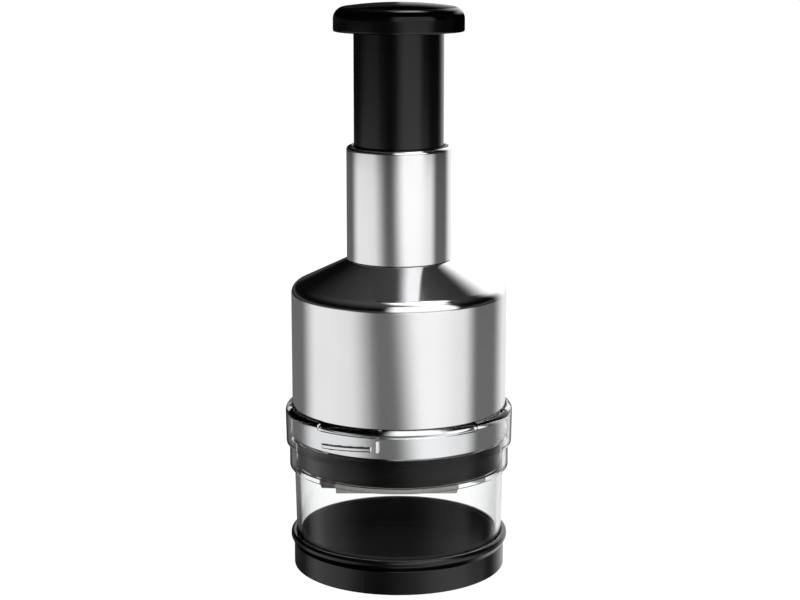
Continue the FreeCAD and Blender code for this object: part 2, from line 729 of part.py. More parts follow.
def make_spindle():
    body = new_body("spindle")
    turned(body, "rod", [
        (0, spindle_foot),
        (spindle_radius, spindle_foot),
        (spindle_radius, clip_low - running_gap),
        (clip_groove, clip_low - running_gap),
        (clip_groove, clip_top + running_gap),
        (spindle_radius, clip_top + running_gap),
        (spindle_radius, spindle_top - spindle_edge),
        (spindle_radius - spindle_edge, spindle_top),
        (0, spindle_top),
    ])
    section = new_sketch(body, "groove_section", "XY_Plane", lift=groove_low)
    draw_outline(section, spoke(
        spindle_radius - groove_depth, spindle_radius + groove_depth, groove_width, zero))
    groove = body.newObject("PartDesign::SubtractiveHelix", "spindle_groove")
    groove.Profile = section
    groove.ReferenceAxis = (origin_feature(body, "Z_Axis"), [""])
    groove.Mode = "pitch-height-angle"
    set_bound(groove, "Pitch", groove_lead)
    set_bound(groove, "Height", groove_run)
    repeated(body, "grooves", [groove], groove_count)
    cross_hole(body, pin_radius + running_gap / 2, hub_boss * 2)
    return body


def cross_hole(body, radius, length):
    """A hole from side to side at the cross pin's height."""
    sketch = new_sketch(body, "pin_hole_outline", "YZ_Plane")
    draw_circle(sketch, 0, pin_height, radius)
    hole = body.newObject("PartDesign::Pocket", f"{body.Label}_pin_hole")
    hole.Profile = sketch
    hole.Midplane = True
    set_bound(hole, "Length", length)


def make_spindle_clip():
    body = new_body("spindle_clip")
    turned(body, "ring", ring_corners(clip_groove + running_gap, clip_radius, clip_low, clip_top))
    raised(body, "mouth", lambda sketch: draw_outline(
        sketch, spoke(screw_radius, clip_radius + overrun, clip_mouth, zero)),
        clip_low, clip_top, cut=True)
    return body


def fold_places():
    """Every fold of the blade. The back half is the front half turned half way round."""
    front = list(zip(fold_x, fold_y))
    return front + [(-across, -along) for across, along in reversed(front)]


def draw_fold_path(sketch, beyond):
    """The blade's middle line: straight runs that swing round the folds, left and right in turn."""
    places = fold_places()
    centres = [Vector(across.number, along.number, 0) for across, along in places]
    radius = fold_radius.number
    headings = [Vector(1, 0, 0)]
    for index, (centre, following) in enumerate(zip(centres, centres[1:])):
        straight = following - centre
        swing = math.asin(2 * radius / straight.Length)
        turn = math.atan2(straight.y, straight.x) + (swing if index % 2 == 0 else -swing)
        headings.append(Vector(math.cos(turn), math.sin(turn), 0))
    headings.append(Vector(1, 0, 0))
    touches = []
    for index, centre in enumerate(centres):
        side = radius if index % 2 == 0 else -radius
        touches.append([centre + Vector(run.y, -run.x, 0) * side for run in headings[index:index + 2]])
    first = Vector((blade_end - beyond).number, touches[0][0].y, 0)
    leaving = [first] + [pair[1] for pair in touches]
    reaching = [pair[0] for pair in touches] + [-first]
    runs = [sketch.addGeometry(Part.LineSegment(*ends)) for ends in zip(leaving, reaching)]
    for index, (centre, (arrive, leave)) in enumerate(zip(centres, touches)):
        ends = (arrive, leave) if index % 2 == 0 else (leave, arrive)
        angles = [math.atan2(point.y - centre.y, point.x - centre.x) for point in ends]
        fold = sketch.addGeometry(Part.ArcOfCircle(Part.Circle(centre, Vector(0, 0, 1), radius), *angles))
        arrives, leaves = (1, 2) if index % 2 == 0 else (2, 1)
        bind(sketch, Sketcher.Constraint("Radius", fold, radius), fold_radius)
        hold(sketch, fold, 3, *places[index])
        sketch.addConstraint(Sketcher.Constraint("Tangent", runs[index], 2, fold, arrives))
        sketch.addConstraint(Sketcher.Constraint("Tangent", fold, leaves, runs[index + 1], 1))
    start = beyond - blade_end
    for run, end, constraint in (
        (runs[0], 1, Sketcher.Constraint("DistanceX", runs[0], 1, -1, 1, start.number)),
        (runs[-1], 2, Sketcher.Constraint("DistanceX", -1, 1, runs[-1], 2, start.number)),
    ):
        sketch.addConstraint(Sketcher.Constraint("Horizontal", run))
        bind(sketch, constraint, start)


def along_folds(body, name, corners, beyond, cut=False):
    """Sweep an upright section along the blade's middle line, from beyond one end to the other."""
    path = new_sketch(body, f"{name}_path", "XY_Plane")
    draw_fold_path(path, beyond)
    section = new_sketch(body, f"{name}_section", "YZ_Plane", lift=blade_end - beyond)
    draw_outline(section, corners)
    kind = "PartDesign::SubtractivePipe" if cut else "PartDesign::AdditivePipe"
    feature = body.newObject(kind, f"{body.Label}_{name}")
    feature.Profile = section
    feature.Spine = (path, [f"Edge{number + 1}" for number in range(len(path.Geometry))])
    return feature


def front_run():
    """Where the blade's front run lies, front to back."""
    return fold_y[0] - fold_radius


def make_blade_wiper():
    body = new_body("blade_wiper")
    turned(body, "disc", [
        (0, wiper_low),
        (wiper_radius, wiper_low),
        (wiper_radius, wiper_top),
        (0, wiper_top),
    ])
    run = front_run()
    along_folds(body, "slot", ring_corners(
        run - slot_half, run + slot_half, wiper_low - slot_end, wiper_top + slot_end), slot_end, cut=True)
    return body


def make_zigzag_blade():
    body = new_body("zigzag_blade")
    run = front_run()
    along_folds(body, "strip", [
        (run - blade_land, blade_tip),
        (run + blade_land, blade_tip),
        (run + blade_half, blade_tip + bevel_tall),
        (run + blade_half, blade_top),
        (run - blade_half, blade_top),
        (run - blade_half, blade_tip + bevel_tall),
    ], zero)
    return body


def make_blade_hub():
    body = new_body("blade_hub")
    bore = spindle_radius + running_gap / 2
    turned(body, "disc", [
        (0, hub_low),
        (hub_radius, hub_low),
        (hub_radius, hub_top),
        (hub_boss, hub_top),
        (hub_boss, hub_boss_top),
        (bore, hub_boss_top),
        (bore, spindle_foot),
        (0, spindle_foot),
    ])
    hole = raised(body, "hole", lambda sketch: draw_circle(sketch, hub_hole_ring, 0, hub_hole),
                  hub_low, hub_top, cut=True)
    repeated(body, "holes", [hole], hub_hole_count)
    cross_hole(body, pin_radius + running_gap / 2, hub_boss * 2 + overrun)
    run = front_run()
    along_folds(body, "grip", ring_corners(
        run - hub_grip, run + hub_grip, hub_low - slot_end, blade_top + running_gap / 2),
        running_gap, cut=True)
    return body


def make_hub_pin():
    body = new_body("hub_pin")
    sketch = new_sketch(body, "outline", "YZ_Plane")
    draw_circle(sketch, 0, pin_height, pin_radius)
    pin = body.newObject("PartDesign::Pad", "hub_pin_rod")
    pin.Profile = sketch
    pin.Midplane = True
    set_bound(pin, "Length", pin_half * 2)
    return body


def make_container():
    body = new_body("container")
    top_bend = collar_top - collar_round
    turned(body, "wall", [
        (wall_foot_radius - wall_thick, wall_foot),
        (wall_foot_radius, wall_foot),
        (wall_radius, band_low),
        (band_radius - band_round, band_low),
        (band_radius, band_low + band_round, band_round),
        (band_radius, collar_foot),
        (collar_foot_radius - step_round, collar_foot),
        (collar_foot_radius, collar_foot + step_round, step_round),
        (collar_radius, top_bend),
        (collar_radius - collar_round, collar_top, collar_round),
        (lip_inner, collar_top),
        (lip_inner, lip_low),
        (collar_inner, lip_low),
        (collar_inner, ledge_top),
        (band_inner, ledge_top),
        (band_inner, wall_top),
        (wall_radius - wall_thick + inner_round, wall_top),
        (wall_radius - wall_thick, wall_top - inner_round, inner_round),
    ])
    entry = turned(body, "entry", ring_corners(
        lip_inner - overrun, collar_inner, lip_low - overrun, collar_top + overrun),
        cut=True, centre=entry_angle, span=entry_span)
    repeated(body, "entries", [entry], lock_count)
    stop = turned(body, "stop", ring_corners(
        lip_inner, collar_inner + overrun / 2, stop_low, lip_low + overrun / 2),
        centre=stop_angle, span=stop_span)
    repeated(body, "stops", [stop], lock_count)
    return body


def make_base_tray():
    body = new_body("base_tray")
    turned(body, "tray", [
        (0, tray_low),
        (foot_inner, tray_low),
        (foot_inner, foot_groove_top),
        (foot_outer, foot_groove_top),
        (foot_outer, tray_low),
        (tray_radius - tray_edge, tray_low),
        (tray_radius, tray_low + tray_edge, tray_edge),
        (tray_radius, rim_low),
        (rim_radius - rim_round, rim_low),
        (rim_radius, rim_low + rim_round, rim_round),
        (rim_radius, rim_top - rim_round),
        (rim_radius - rim_round, rim_top, rim_round),
        (channel_outer, rim_top),
        (channel_outer, channel_floor),
        (channel_inner, channel_floor),
        (channel_inner, inner_top - inner_edge),
        (channel_inner - inner_edge, inner_top, inner_edge),
        (inner_radius + inner_edge, inner_top),
        (inner_radius, inner_top - inner_edge, inner_edge),
        (inner_radius, tray_floor + floor_round),
        (inner_radius - floor_round, tray_floor, -floor_round),
        (0, tray_floor),
    ])
    return body


def make_base_seal():
    body = new_body("base_seal")
    turned(body, "ring", ring_corners(
        channel_inner + seal_gap, channel_outer - seal_gap, channel_floor, seal_top))
    return body


def make_foot_ring():
    body = new_body("foot_ring")
    turned(body, "ring", ring_corners(foot_inner, foot_outer, zero, foot_groove_top))
    return body


def check_whole():
    """Stop if a feature failed or a piece isn't a sound solid."""
    for item in doc.Objects:
        faults = [state for state in item.State if state in ("Invalid", "Error")]
        if faults:
            raise RuntimeError(f"{item.Name}: {faults}")
    for piece in pieces:
        shape = piece.Shape
        if shape.isNull() or not shape.isValid() or not shape.Solids:
            raise RuntimeError(f"{piece.Label}: not a sound solid")


pieces = [
    make_neck_sleeve(),
    make_housing_shell(),
    make_guide_body(),
    make_neck_bushing(),
    make_spring_seat(),
    make_return_spring(),
    make_index_nut(),
    make_pawl_ring(),
    make_index_cover(),
    make_cover_screws(),
    make_wiper_retainer(),
    make_plunger_stem(),
    make_plunger_knob(),
    make_spindle_bearing(),
    make_thrust_washer(),
    make_spindle(),
    make_spindle_clip(),
    make_hub_pin(),
    make_blade_hub(),
    make_zigzag_blade(),
    make_blade_wiper(),
    make_container(),
    make_base_tray(),
    make_base_seal(),
    make_foot_ring(),
]
doc.recompute()
check_whole()

os.makedirs("parts", exist_ok=True)
for piece in pieces:
    piece.Shape.exportStep(f"parts/{piece.Label}.step")
    box = piece.Shape.BoundBox
    print(f"{piece.Label:18} {len(piece.Shape.Solids)} solids  {piece.Shape.Volume:10.1f} mm3"
          f"  z {box.ZMin:7.2f} to {box.ZMax:7.2f}  radius {box.XMax:6.2f}")
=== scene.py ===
import json
import math

import bmesh
import bpy
import numpy as np
from bpy.props import FloatProperty, FloatVectorProperty, IntProperty, PointerProperty
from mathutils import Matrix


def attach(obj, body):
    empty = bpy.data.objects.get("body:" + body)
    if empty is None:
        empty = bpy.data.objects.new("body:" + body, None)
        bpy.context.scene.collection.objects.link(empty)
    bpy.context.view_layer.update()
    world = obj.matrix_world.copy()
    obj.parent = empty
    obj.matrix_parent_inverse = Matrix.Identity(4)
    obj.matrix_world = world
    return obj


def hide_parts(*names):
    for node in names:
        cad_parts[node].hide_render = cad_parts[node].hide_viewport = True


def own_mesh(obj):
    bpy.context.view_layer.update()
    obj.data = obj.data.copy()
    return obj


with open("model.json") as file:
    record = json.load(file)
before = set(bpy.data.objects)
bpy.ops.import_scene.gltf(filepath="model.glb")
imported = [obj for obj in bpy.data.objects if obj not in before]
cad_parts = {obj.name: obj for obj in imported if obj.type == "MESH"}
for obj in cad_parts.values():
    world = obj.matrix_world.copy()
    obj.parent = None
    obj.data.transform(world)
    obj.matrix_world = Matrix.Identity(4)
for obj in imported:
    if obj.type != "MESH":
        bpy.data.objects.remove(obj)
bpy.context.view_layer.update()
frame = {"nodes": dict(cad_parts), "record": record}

bl_info = {
    "name": "Plunger food chopper",
    "version": (1, 0, 0),
    "blender": (4, 5, 0),
    "location": "3D View > Sidebar > Chopper",
    "description": "Surfaces, finishes and studio of a plunger food chopper",
    "category": "Object",
}

MM = 0.001
ROUND = 2 * math.pi


def distance(name, words, millimetres):
    """A length that a user can change, written in millimetres and kept in metres."""
    return FloatProperty(name=name, description=words, default=millimetres * MM, precision=5,
                         unit="LENGTH", subtype="DISTANCE")


def angle(name, words, degrees):
    """An angle that a user can change, written in degrees and kept in radians."""
    return FloatProperty(name=name, description=words, default=math.radians(degrees),
                         unit="ROTATION", subtype="ANGLE")


def colour(name, words, red, green, blue):
    """A colour that a user can change, as the shader reads it."""
    return FloatVectorProperty(name=name, description=words, default=(red, green, blue),
                               size=3, min=0.0, max=1.0, subtype="COLOR")


def count(name, words, number):
    """A whole number that a user can change."""
    return IntProperty(name=name, description=words, default=number, min=1)


def lengths(name, words, parts, size=3):
    """A few lengths that a user can change, in metres."""
    return FloatVectorProperty(name=name, description=words, default=parts, size=size,
                               precision=5, subtype="XYZ", unit="LENGTH")


class SteelSizes(bpy.types.PropertyGroup):
    """Sizes of the steel housing."""

    radius: distance("Body radius", "Outer radius of the body", 45.0)
    wall: distance("Body wall", "Thickness of the body's sheet", 0.7)
    foot: distance("Body foot", "Height of the body's lower edge", 57.6)
    bend: distance("Shoulder bend", "Outer radius of the shoulder", 4.84)
    slope: angle("Cone slope", "How steeply the cone falls", 25.68)
    neck: distance("Neck radius", "Outer radius of the neck", 21.67)
    neck_wall: distance("Neck wall", "Thickness of the neck's sheet", 0.6)
    neck_foot: distance("Neck foot", "Height where the neck meets the cone", 131.7)
    seam: distance("Seam", "Open seam between neck and cone", 0.3)
    neck_top: distance("Neck top", "Height of the neck's rolled lip", 178.9)
    lip: distance("Neck lip", "Outer radius of the rolled lip", 1.3)
    lug_low: distance("Lug foot", "Lower edge of the pressed lugs, at their middle", 59.9)
    lug_high: distance("Lug top", "Upper edge of the pressed lugs, at their middle", 61.9)
    lug_rise: distance("Lug rise", "How far a lug stands out", 0.6)
    lug_climb: distance("Lug climb", "How much a lug rises from end to end", 1.4)
    lug_span: angle("Lug span", "How much of the circle a lug covers", 29.4)
    lug_turn: angle("Lug direction", "Direction of the first lug's middle", -118.6)


class PlungerSizes(bpy.types.PropertyGroup):
    """Sizes of the plunger, the neck's bushing and the spring."""

    stem: distance("Stem radius", "Outer radius of the stem", 18.57)
    stem_wall: distance("Stem wall", "Wall of the stem", 1.77)
    stem_foot: distance("Stem foot", "Height of the stem's lower end", 164.0)
    flange: distance("Stop flange", "Radius of the stem's stop flange", 19.45)
    flange_top: distance("Flange top", "Height of the stop flange's top", 167.6)
    stem_top: distance("Stem top", "Height of the stem's end inside the knob", 229.5)
    notch: distance("Notch", "Half the width of the flange's two notches", 1.28)
    knob: distance("Knob radius", "Outer radius of the knob", 26.9)
    knob_foot: distance("Knob foot", "Height of the knob's underside", 225.6)
    knob_side: distance("Knob side", "Height where the knob's edge begins to round", 230.62)
    knob_bend: distance("Knob bend", "Radius of the knob's upper edge", 5.12)
    dome: angle("Dome slope", "How steeply the dome falls at its edge", 8.2)
    plug: distance("Plug foot", "Lower end of the plug under the knob", 221.6)
    core_inner: distance("Core inside", "Inner radius of the hollow under the knob", 21.3)
    core_outer: distance("Core outside", "Outer radius of the hollow under the knob", 24.6)
    core_top: distance("Core top", "Top of the hollow under the knob", 231.0)
    gap: distance("Sliding gap", "Gap between stem and bushing", 0.28)
    bush_foot: distance("Bushing foot", "Height of the bushing's lower edge", 168.0)
    bush: distance("Bushing radius", "Outer radius of the bushing in the guide", 19.69)
    bush_flange: distance("Bushing flange", "Radius of the bushing's flange", 20.2)
    bush_seat: distance("Bushing seat", "Underside of the bushing's flange", 177.4)
    bush_top: distance("Bushing top", "Height of the bushing's top", 179.2)
    coil: distance("Coil radius", "Radius of the spring to the wire's middle", 12.0)
    wire: distance("Wire radius", "Radius of the spring's wire", 0.8)
    coil_foot: distance("Coil foot", "Height that the spring stands on", 122.4)
    coil_top: distance("Coil top", "Height of the spring's upper end", 212.0)
    coils: count("Turns", "Turns of the spring", 11)
    stroke: distance("Stroke", "How far the plunger goes down", 35.0)


class CupSizes(bpy.types.PropertyGroup):
    """Sizes of the clear container and the ring above it."""

    collar: distance("Collar radius", "Outer radius of the collar", 47.95)
    collar_low: distance("Collar foot radius", "Outer radius at the collar's foot", 47.65)
    collar_top: distance("Collar top", "Height of the collar's top", 69.9)
    collar_foot: distance("Collar foot", "Height of the collar's underside", 53.85)
    collar_bend: distance("Collar bend", "Radius of the collar's upper edge", 2.6)
    collar_edge: distance("Collar edge", "Radius of the collar's lower edge", 0.5)
    collar_inner: distance("Collar inside", "Inner radius of the collar", 46.2)
    lip: distance("Lip", "Inner radius of the collar's lip", 45.3)
    lip_low: distance("Lip underside", "Height of the lip's underside", 66.6)
    ledge: distance("Ledge", "Height of the ledge that the body stands on", 57.5)
    band: distance("Band radius", "Outer radius of the band below the collar", 46.3)
    band_foot: distance("Band foot", "Height of the band's underside", 43.4)
    band_edge: distance("Band edge", "Radius of the band's lower edge", 0.6)
    band_inner: distance("Band inside", "Inner radius of the band", 44.1)
    band_floor: distance("Band inner step", "Height of the step inside the band", 45.0)
    wall: distance("Wall radius", "Outer radius of the wall under the band", 44.25)
    wall_low: distance("Wall foot radius", "Outer radius at the wall's foot", 43.4)
    foot: distance("Wall foot", "Height of the wall's foot", 4.5)
    thick: distance("Wall thickness", "Thickness of the wall", 1.9)
    stop_turn: angle("Stop direction", "Direction of the first stop rib", -100.7)
    stop_span: angle("Stop span", "How much of the circle a stop rib covers", 1.5)
    stop_foot: distance("Stop foot", "Lower end of the stop ribs", 60.8)
    stop_top: distance("Stop top", "Upper end of the frosted face of the stop ribs", 65.2)
    entry_turn: angle("Entry direction", "Direction of the first entry gap", -151.0)
    entry_span: angle("Entry span", "How much of the circle an entry gap covers", 32.0)
    ring_foot: distance("Ring foot", "Underside of the wiper's retaining ring", 45.1)
    ring_top: distance("Ring top", "Top of the wiper's retaining ring", 47.0)
    ring_inner: distance("Ring inside", "Inner radius of the retaining ring", 39.8)
    ring_outer: distance("Ring outside", "Outer radius of the retaining ring", 42.9)
    locks: count("Locks", "Lugs, stops and entry gaps round the collar", 3)


class TraySizes(bpy.types.PropertyGroup):
    """Sizes of the tray that closes the container."""

    radius: distance("Tray radius", "Outer radius of the tray", 44.75)
    low: distance("Tray underside", "Height of the tray's underside", 0.05)
    edge: distance("Tray edge", "Radius of the tray's lower edge", 0.3)
    rim: distance("Rim radius", "Outer radius of the rim", 46.05)
    rim_low: distance("Rim underside", "Height of the rim's underside", 10.4)
    rim_top: distance("Rim top", "Height of the rim's top", 14.6)
    rim_taper: distance("Rim taper", "Height in which the rim swells from the wall", 1.9)
    rim_bend: distance("Rim bend", "Radius of the rim's edges", 1.1)
    groove_outer: distance("Groove outside", "Outer radius of the groove for the wall", 43.9)
    groove_inner: distance("Groove inside", "Inner radius of that groove", 41.1)
    floor: distance("Floor", "Height of the floor and of the groove's floor", 3.0)
    inner_top: distance("Inner wall top", "Height of the inner wall", 15.1)
    inner: distance("Inner wall radius", "Inner radius of the inner wall", 39.4)
    cove: distance("Cove", "Radius where the floor meets the wall", 2.0)
    foot_inner: distance("Foot inside", "Inner radius of the foot ring", 35.5)
    foot_outer: distance("Foot outside", "Outer radius of the foot ring", 39.5)
    foot_top: distance("Foot top", "Top of the foot ring's groove", 1.5)


class BladeSizes(bpy.types.PropertyGroup):
    """Sizes of the folded blade."""

    tip: distance("Cutting edge", "Height of the cutting edge", 38.5)
    top: distance("Upper edge", "Height of the blade's upper edge", 88.0)
    half: distance("Half thickness", "Half the blade's thickness", 0.4)
    land: distance("Land", "Half the width left at the cutting edge", 0.05)
    bevel: distance("Bevel", "Height of the ground edge", 1.3)
    fold: distance("Fold radius", "Radius of a fold at the blade's middle", 1.2)
    end: distance("Blade end", "Where the front run begins, across", -25.5)
    fold_across: lengths("Folds across", "The front four folds, across",
                         (0.0224, -0.0306, 0.0343, -0.036), 4)
    fold_along: lengths("Folds along", "The front four folds, front to back",
                        (-0.027, -0.0196, -0.012, -0.00405), 4)


class Finishes(bpy.types.PropertyGroup):
    """Colours of the finishes."""

    steel: colour("Polished steel", "Colour of the polished housing", 0.90, 0.90, 0.91)
    blade: colour("Blade steel", "Colour of the ground blade", 0.36, 0.345, 0.325)
    wire: colour("Spring steel", "Colour of wire, washers and screws", 0.55, 0.55, 0.56)
    rod: colour("Rod steel", "Colour of the spindle and its pin", 0.62, 0.62, 0.63)
    black: colour("Black plastic", "Colour of the black mouldings", 0.0008, 0.0008, 0.0008)
    rubber: colour("Black rubber", "Colour of the foot and the seal", 0.004, 0.004, 0.004)
    white: colour("White acetal", "Colour of the index nut and the bearing", 0.82, 0.82, 0.80)
    clear: colour("Clear plastic", "Tint of the clear container", 0.985, 0.99, 0.99)


class StudioSizes(bpy.types.PropertyGroup):
    """Camera, floor and light."""

    lens: FloatProperty(name="Lens", description="Focal length of the camera, in millimetres",
                        default=84.3, min=1.0)
    camera_across: distance("Camera across", "Where the camera stands, across", 0.47)
    camera_back: distance("Camera distance", "How far in front the camera stands", 768.9)
    camera_height: distance("Camera height", "Height of the camera", 271.3)
    camera_tilt: angle("Camera tilt", "How far the camera looks down", 11.57)
    floor: distance("Floor", "Half the side of the floor", 6000.0)
    key: distance("Key light", "Side of the overhead light", 900.0)
    key_place: lengths("Key place", "Where the overhead light hangs", (0.35, -0.65, 1.25))
    key_tilt: FloatVectorProperty(
        name="Key tilt", description="How the overhead light is turned", subtype="EULER",
        default=(math.radians(27.0), math.radians(15.0), 0.0))
    key_power: FloatProperty(name="Key power", description="Power of the overhead light",
                             default=9.0, min=0.0, unit="POWER")
    ambient: FloatProperty(name="Ambient", description="Level of the light from all round",
                           default=0.75, min=0.0, max=1.0, subtype="FACTOR")


SIZES = (SteelSizes, PlungerSizes, CupSizes, TraySizes, BladeSizes, Finishes, StudioSizes)


# Surfaces

def rounded(corners, closed, steps=5, guard=0.25):
    """A path through corners (across, up, radius), each rounded by an arc.

    With u and v the unit vectors from a corner to its neighbours and a the angle between them,
    the arc leaves the runs at radius / tan(a / 2) from the corner, and its centre lies on u + v
    at radius / sin(a / 2). A guard point on each run, a share of the run or a quarter of a
    millimetre from the arc, keeps the run's shading straight. An open path keeps its ends."""
    corners = np.asarray(corners, float)
    point, radius = corners[:, :2], corners[:, 2:]
    back, ahead = np.roll(point, 1, 0) - point, np.roll(point, -1, 0) - point
    back_long = np.linalg.norm(back, axis=1, keepdims=True)
    ahead_long = np.linalg.norm(ahead, axis=1, keepdims=True)
    back, ahead = back / back_long, ahead / ahead_long
    half = np.arccos(np.clip((back * ahead).sum(1, keepdims=True), -1, 1)) / 2
    reach = radius / np.tan(half)
    bisector = back + ahead
    bisector /= np.linalg.norm(bisector, axis=1, keepdims=True)
    centre = point + bisector * radius / np.sin(half)
    start, end = point + back * reach - centre, point + ahead * reach - centre
    swing = (math.pi - 2 * half)[..., None]
    turn = np.linspace(0, 1, steps)[None, :, None]
    arc = centre[:, None] + (np.sin((1 - turn) * swing) * start[:, None]
                             + np.sin(turn * swing) * end[:, None]) / np.sin(swing)
    near = np.minimum(guard * MM, 0.2 * np.minimum(back_long, ahead_long))
    before = (point + back * (reach + near))[:, None]
    after = (point + ahead * (reach + near))[:, None]
    blocks = np.concatenate([before, arc, after], 1)
    if closed:
        return blocks.reshape(-1, 2)
    return np.concatenate([point[:1], blocks[1:-1].reshape(-1, 2), point[-1:]])


def arc(centre, radius, start, end, steps):
    """Points on a circle about centre from the angle start to end, in radians."""
    turn = np.linspace(start, end, steps)[:, None]
    return np.array(centre) + radius * np.hstack([np.cos(turn), np.sin(turn)])


def extra_heights(path, heights, lean=0.6 * MM):
    """The path with one more point where a run that leans less than this crosses each height.

    On a run from radius r and height z to r' and z', the point for height h lies at the share
    (h - z) / (z' - z) of the run."""
    for height in heights:
        following = np.roll(path, -1, 0)
        low, high = path[:, 1], following[:, 1]
        upright = np.abs(path[:, 0] - following[:, 0]) < lean
        crossing = np.flatnonzero(upright & ((low - height) * (high - height) < 0))
        along = (height - low[crossing]) / (high[crossing] - low[crossing])
        added = path[crossing] + (following - path)[crossing] * along[:, None]
        path = np.insert(path, crossing + 1, added, axis=0)
    return path


def wrapped(turn):
    """The same direction between minus and plus half a circle."""
    return (turn + math.pi) % ROUND - math.pi


def spread(first, number):
    """Directions evenly round the axis, from the first one on."""
    return first + ROUND * np.arange(number) / number


def even_turn(columns, edges=(), beside=2e-4, clear=1e-3):
    """Directions round the axis, evenly spaced, with a close pair, one beside the other, at each
    stated edge and none of the even ones within clear of it."""
    even = np.linspace(-math.pi, math.pi, columns, endpoint=False)
    if not len(edges):
        return even
    edges = wrapped(np.asarray(edges, float))
    pairs = np.concatenate([edges - beside, edges + beside])
    away = np.abs(wrapped(even[:, None] - pairs)).min(1)
    return np.sort(np.concatenate([even[away > clear], pairs]))


def linked(name, mesh, sharp):
    """An object at the origin, smooth but where faces meet at more than sharp degrees."""
    mesh.shade_smooth()
    mesh.set_sharp_from_angle(angle=math.radians(sharp))
    piece = bpy.data.objects.new(name, mesh)
    bpy.context.scene.collection.objects.link(piece)
    return piece


def new_piece(name, points, faces, sharp=35.0):
    """An object made from points and faces."""
    mesh = bpy.data.meshes.new(name)
    mesh.from_pydata(points, [], faces)
    mesh.validate()
    return linked(name, mesh, sharp)


def grid_faces(rows, columns, wrap):
    """Four-cornered faces between neighbours of a grid of points numbered row by row. The last
    column always meets the first, and the last row does where wrap is true."""
    row = np.arange(rows if wrap else rows - 1)[:, None]
    column = np.arange(columns)[None]
    next_row, next_column = (row + 1) % rows, (column + 1) % columns
    corners = [row * columns + column, row * columns + next_column,
               next_row * columns + next_column, next_row * columns + column]
    return np.stack(corners, -1).reshape(-1, 4)


def capped_tube(name, points, sharp=35.0):
    """A piece from rings of points, one ring after another, with a flat face at each end."""
    along, around = points.shape[:2]
    ring = np.arange(around)
    faces = grid_faces(along, around, False)[:, ::-1].tolist()
    faces += [ring.tolist(), (ring[::-1] + (along - 1) * around).tolist()]
    return new_piece(name, points.reshape(-1, 3), faces, sharp)


def turned(name, path, closed=True, turns=None, shape=None):
    """A path of radius and height carried round the axis.

    Point (t, a) lies at radius r(t) in the direction a, at height z(t); shape(r, z, a), where
    given, moves the radius. An open path that starts or ends on the axis is closed there by a
    fan of triangles about one point."""
    turns = even_turn(192) if turns is None else turns
    start_pole, end_pole = (not closed and path[end, 0] < 1e-9 for end in (0, -1))
    rows = path[int(start_pole):len(path) - int(end_pole)]
    radius, height = rows[:, :1] + 0 * turns, rows[:, 1:] + 0 * turns
    if shape:
        radius = shape(radius, height, turns + 0 * radius)
    points = np.stack([radius * np.cos(turns), radius * np.sin(turns), height], -1).reshape(-1, 3)
    around, along = len(turns), len(rows)
    faces = grid_faces(along, around, closed).tolist()
    ring = np.arange(around)
    following = (ring + 1) % around
    last = (along - 1) * around
    for used, pole, first, second in ((start_pole, path[0], following, ring),
                                      (end_pole, path[-1], last + ring, last + following)):
        if used:
            faces += np.stack([first, second, np.full(around, len(points))], -1).tolist()
            points = np.vstack([points, [0, 0, pole[1]]])
    return new_piece(name, points, faces)


def swept(name, path, sides, section):
    """A closed section carried along a level path, with a flat face at each end.

    Point (s, t) is path(s) + sides(s) * across(t), at height up(t)."""
    level = path[:, None] + sides[:, None] * section[None, :, :1]
    height = np.broadcast_to(section[None, :, 1:], (*level.shape[:2], 1))
    return capped_tube(name, np.concatenate([level, height], -1))


def coiled(name, radius, wire, low, high, turns, steps=40, sides=14):
    """A round wire wound about the axis.

    The wire's middle at share s is (radius cos a, radius sin a, low + s (high - low)) with
    a = 2 pi turns s; the wire lies about it on the outward direction and on the cross product
    of that with the heading."""
    share_along = np.linspace(0, 1, int(turns * steps) + 1)[:, None]
    turn = ROUND * turns * share_along
    out = np.hstack([np.cos(turn), np.sin(turn), 0 * turn])
    climb = (high - low) / (ROUND * turns * radius)
    heading = np.hstack([-np.sin(turn), np.cos(turn), 0 * turn + climb])
    heading /= np.linalg.norm(heading, axis=1, keepdims=True)
    up = np.cross(out, heading)
    middle = radius * out + np.array([0, 0, 1]) * (low + share_along * (high - low))
    side = np.linspace(0, ROUND, sides, endpoint=False)[None, :, None]
    points = middle[:, None] + wire * (np.cos(side) * out[:, None] + np.sin(side) * up[:, None])
    return capped_tube(name, points, 50.0)


def smooth_copy(name, node, near=2e-6, sharp=30.0):
    """A smoothly shaded copy of a node whose shape is already right, its near points merged."""
    mesh = frame["nodes"][node].data.copy()
    mesh.name = name
    work = bmesh.new()
    work.from_mesh(mesh)
    bmesh.ops.remove_doubles(work, verts=work.verts, dist=near)
    work.to_mesh(mesh)
    work.free()
    if mesh.has_custom_normals:
        mesh.attributes.remove(mesh.attributes["custom_normal"])
    mesh.materials.clear()
    return linked(name, mesh, sharp)


def fit(piece, node, body, slot):
    """The piece stands for a node, rides on its body and takes its slot's finish."""
    piece.data.materials.append(finishes[slot])
    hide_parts(node)
    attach(piece, body)


# Shader maths

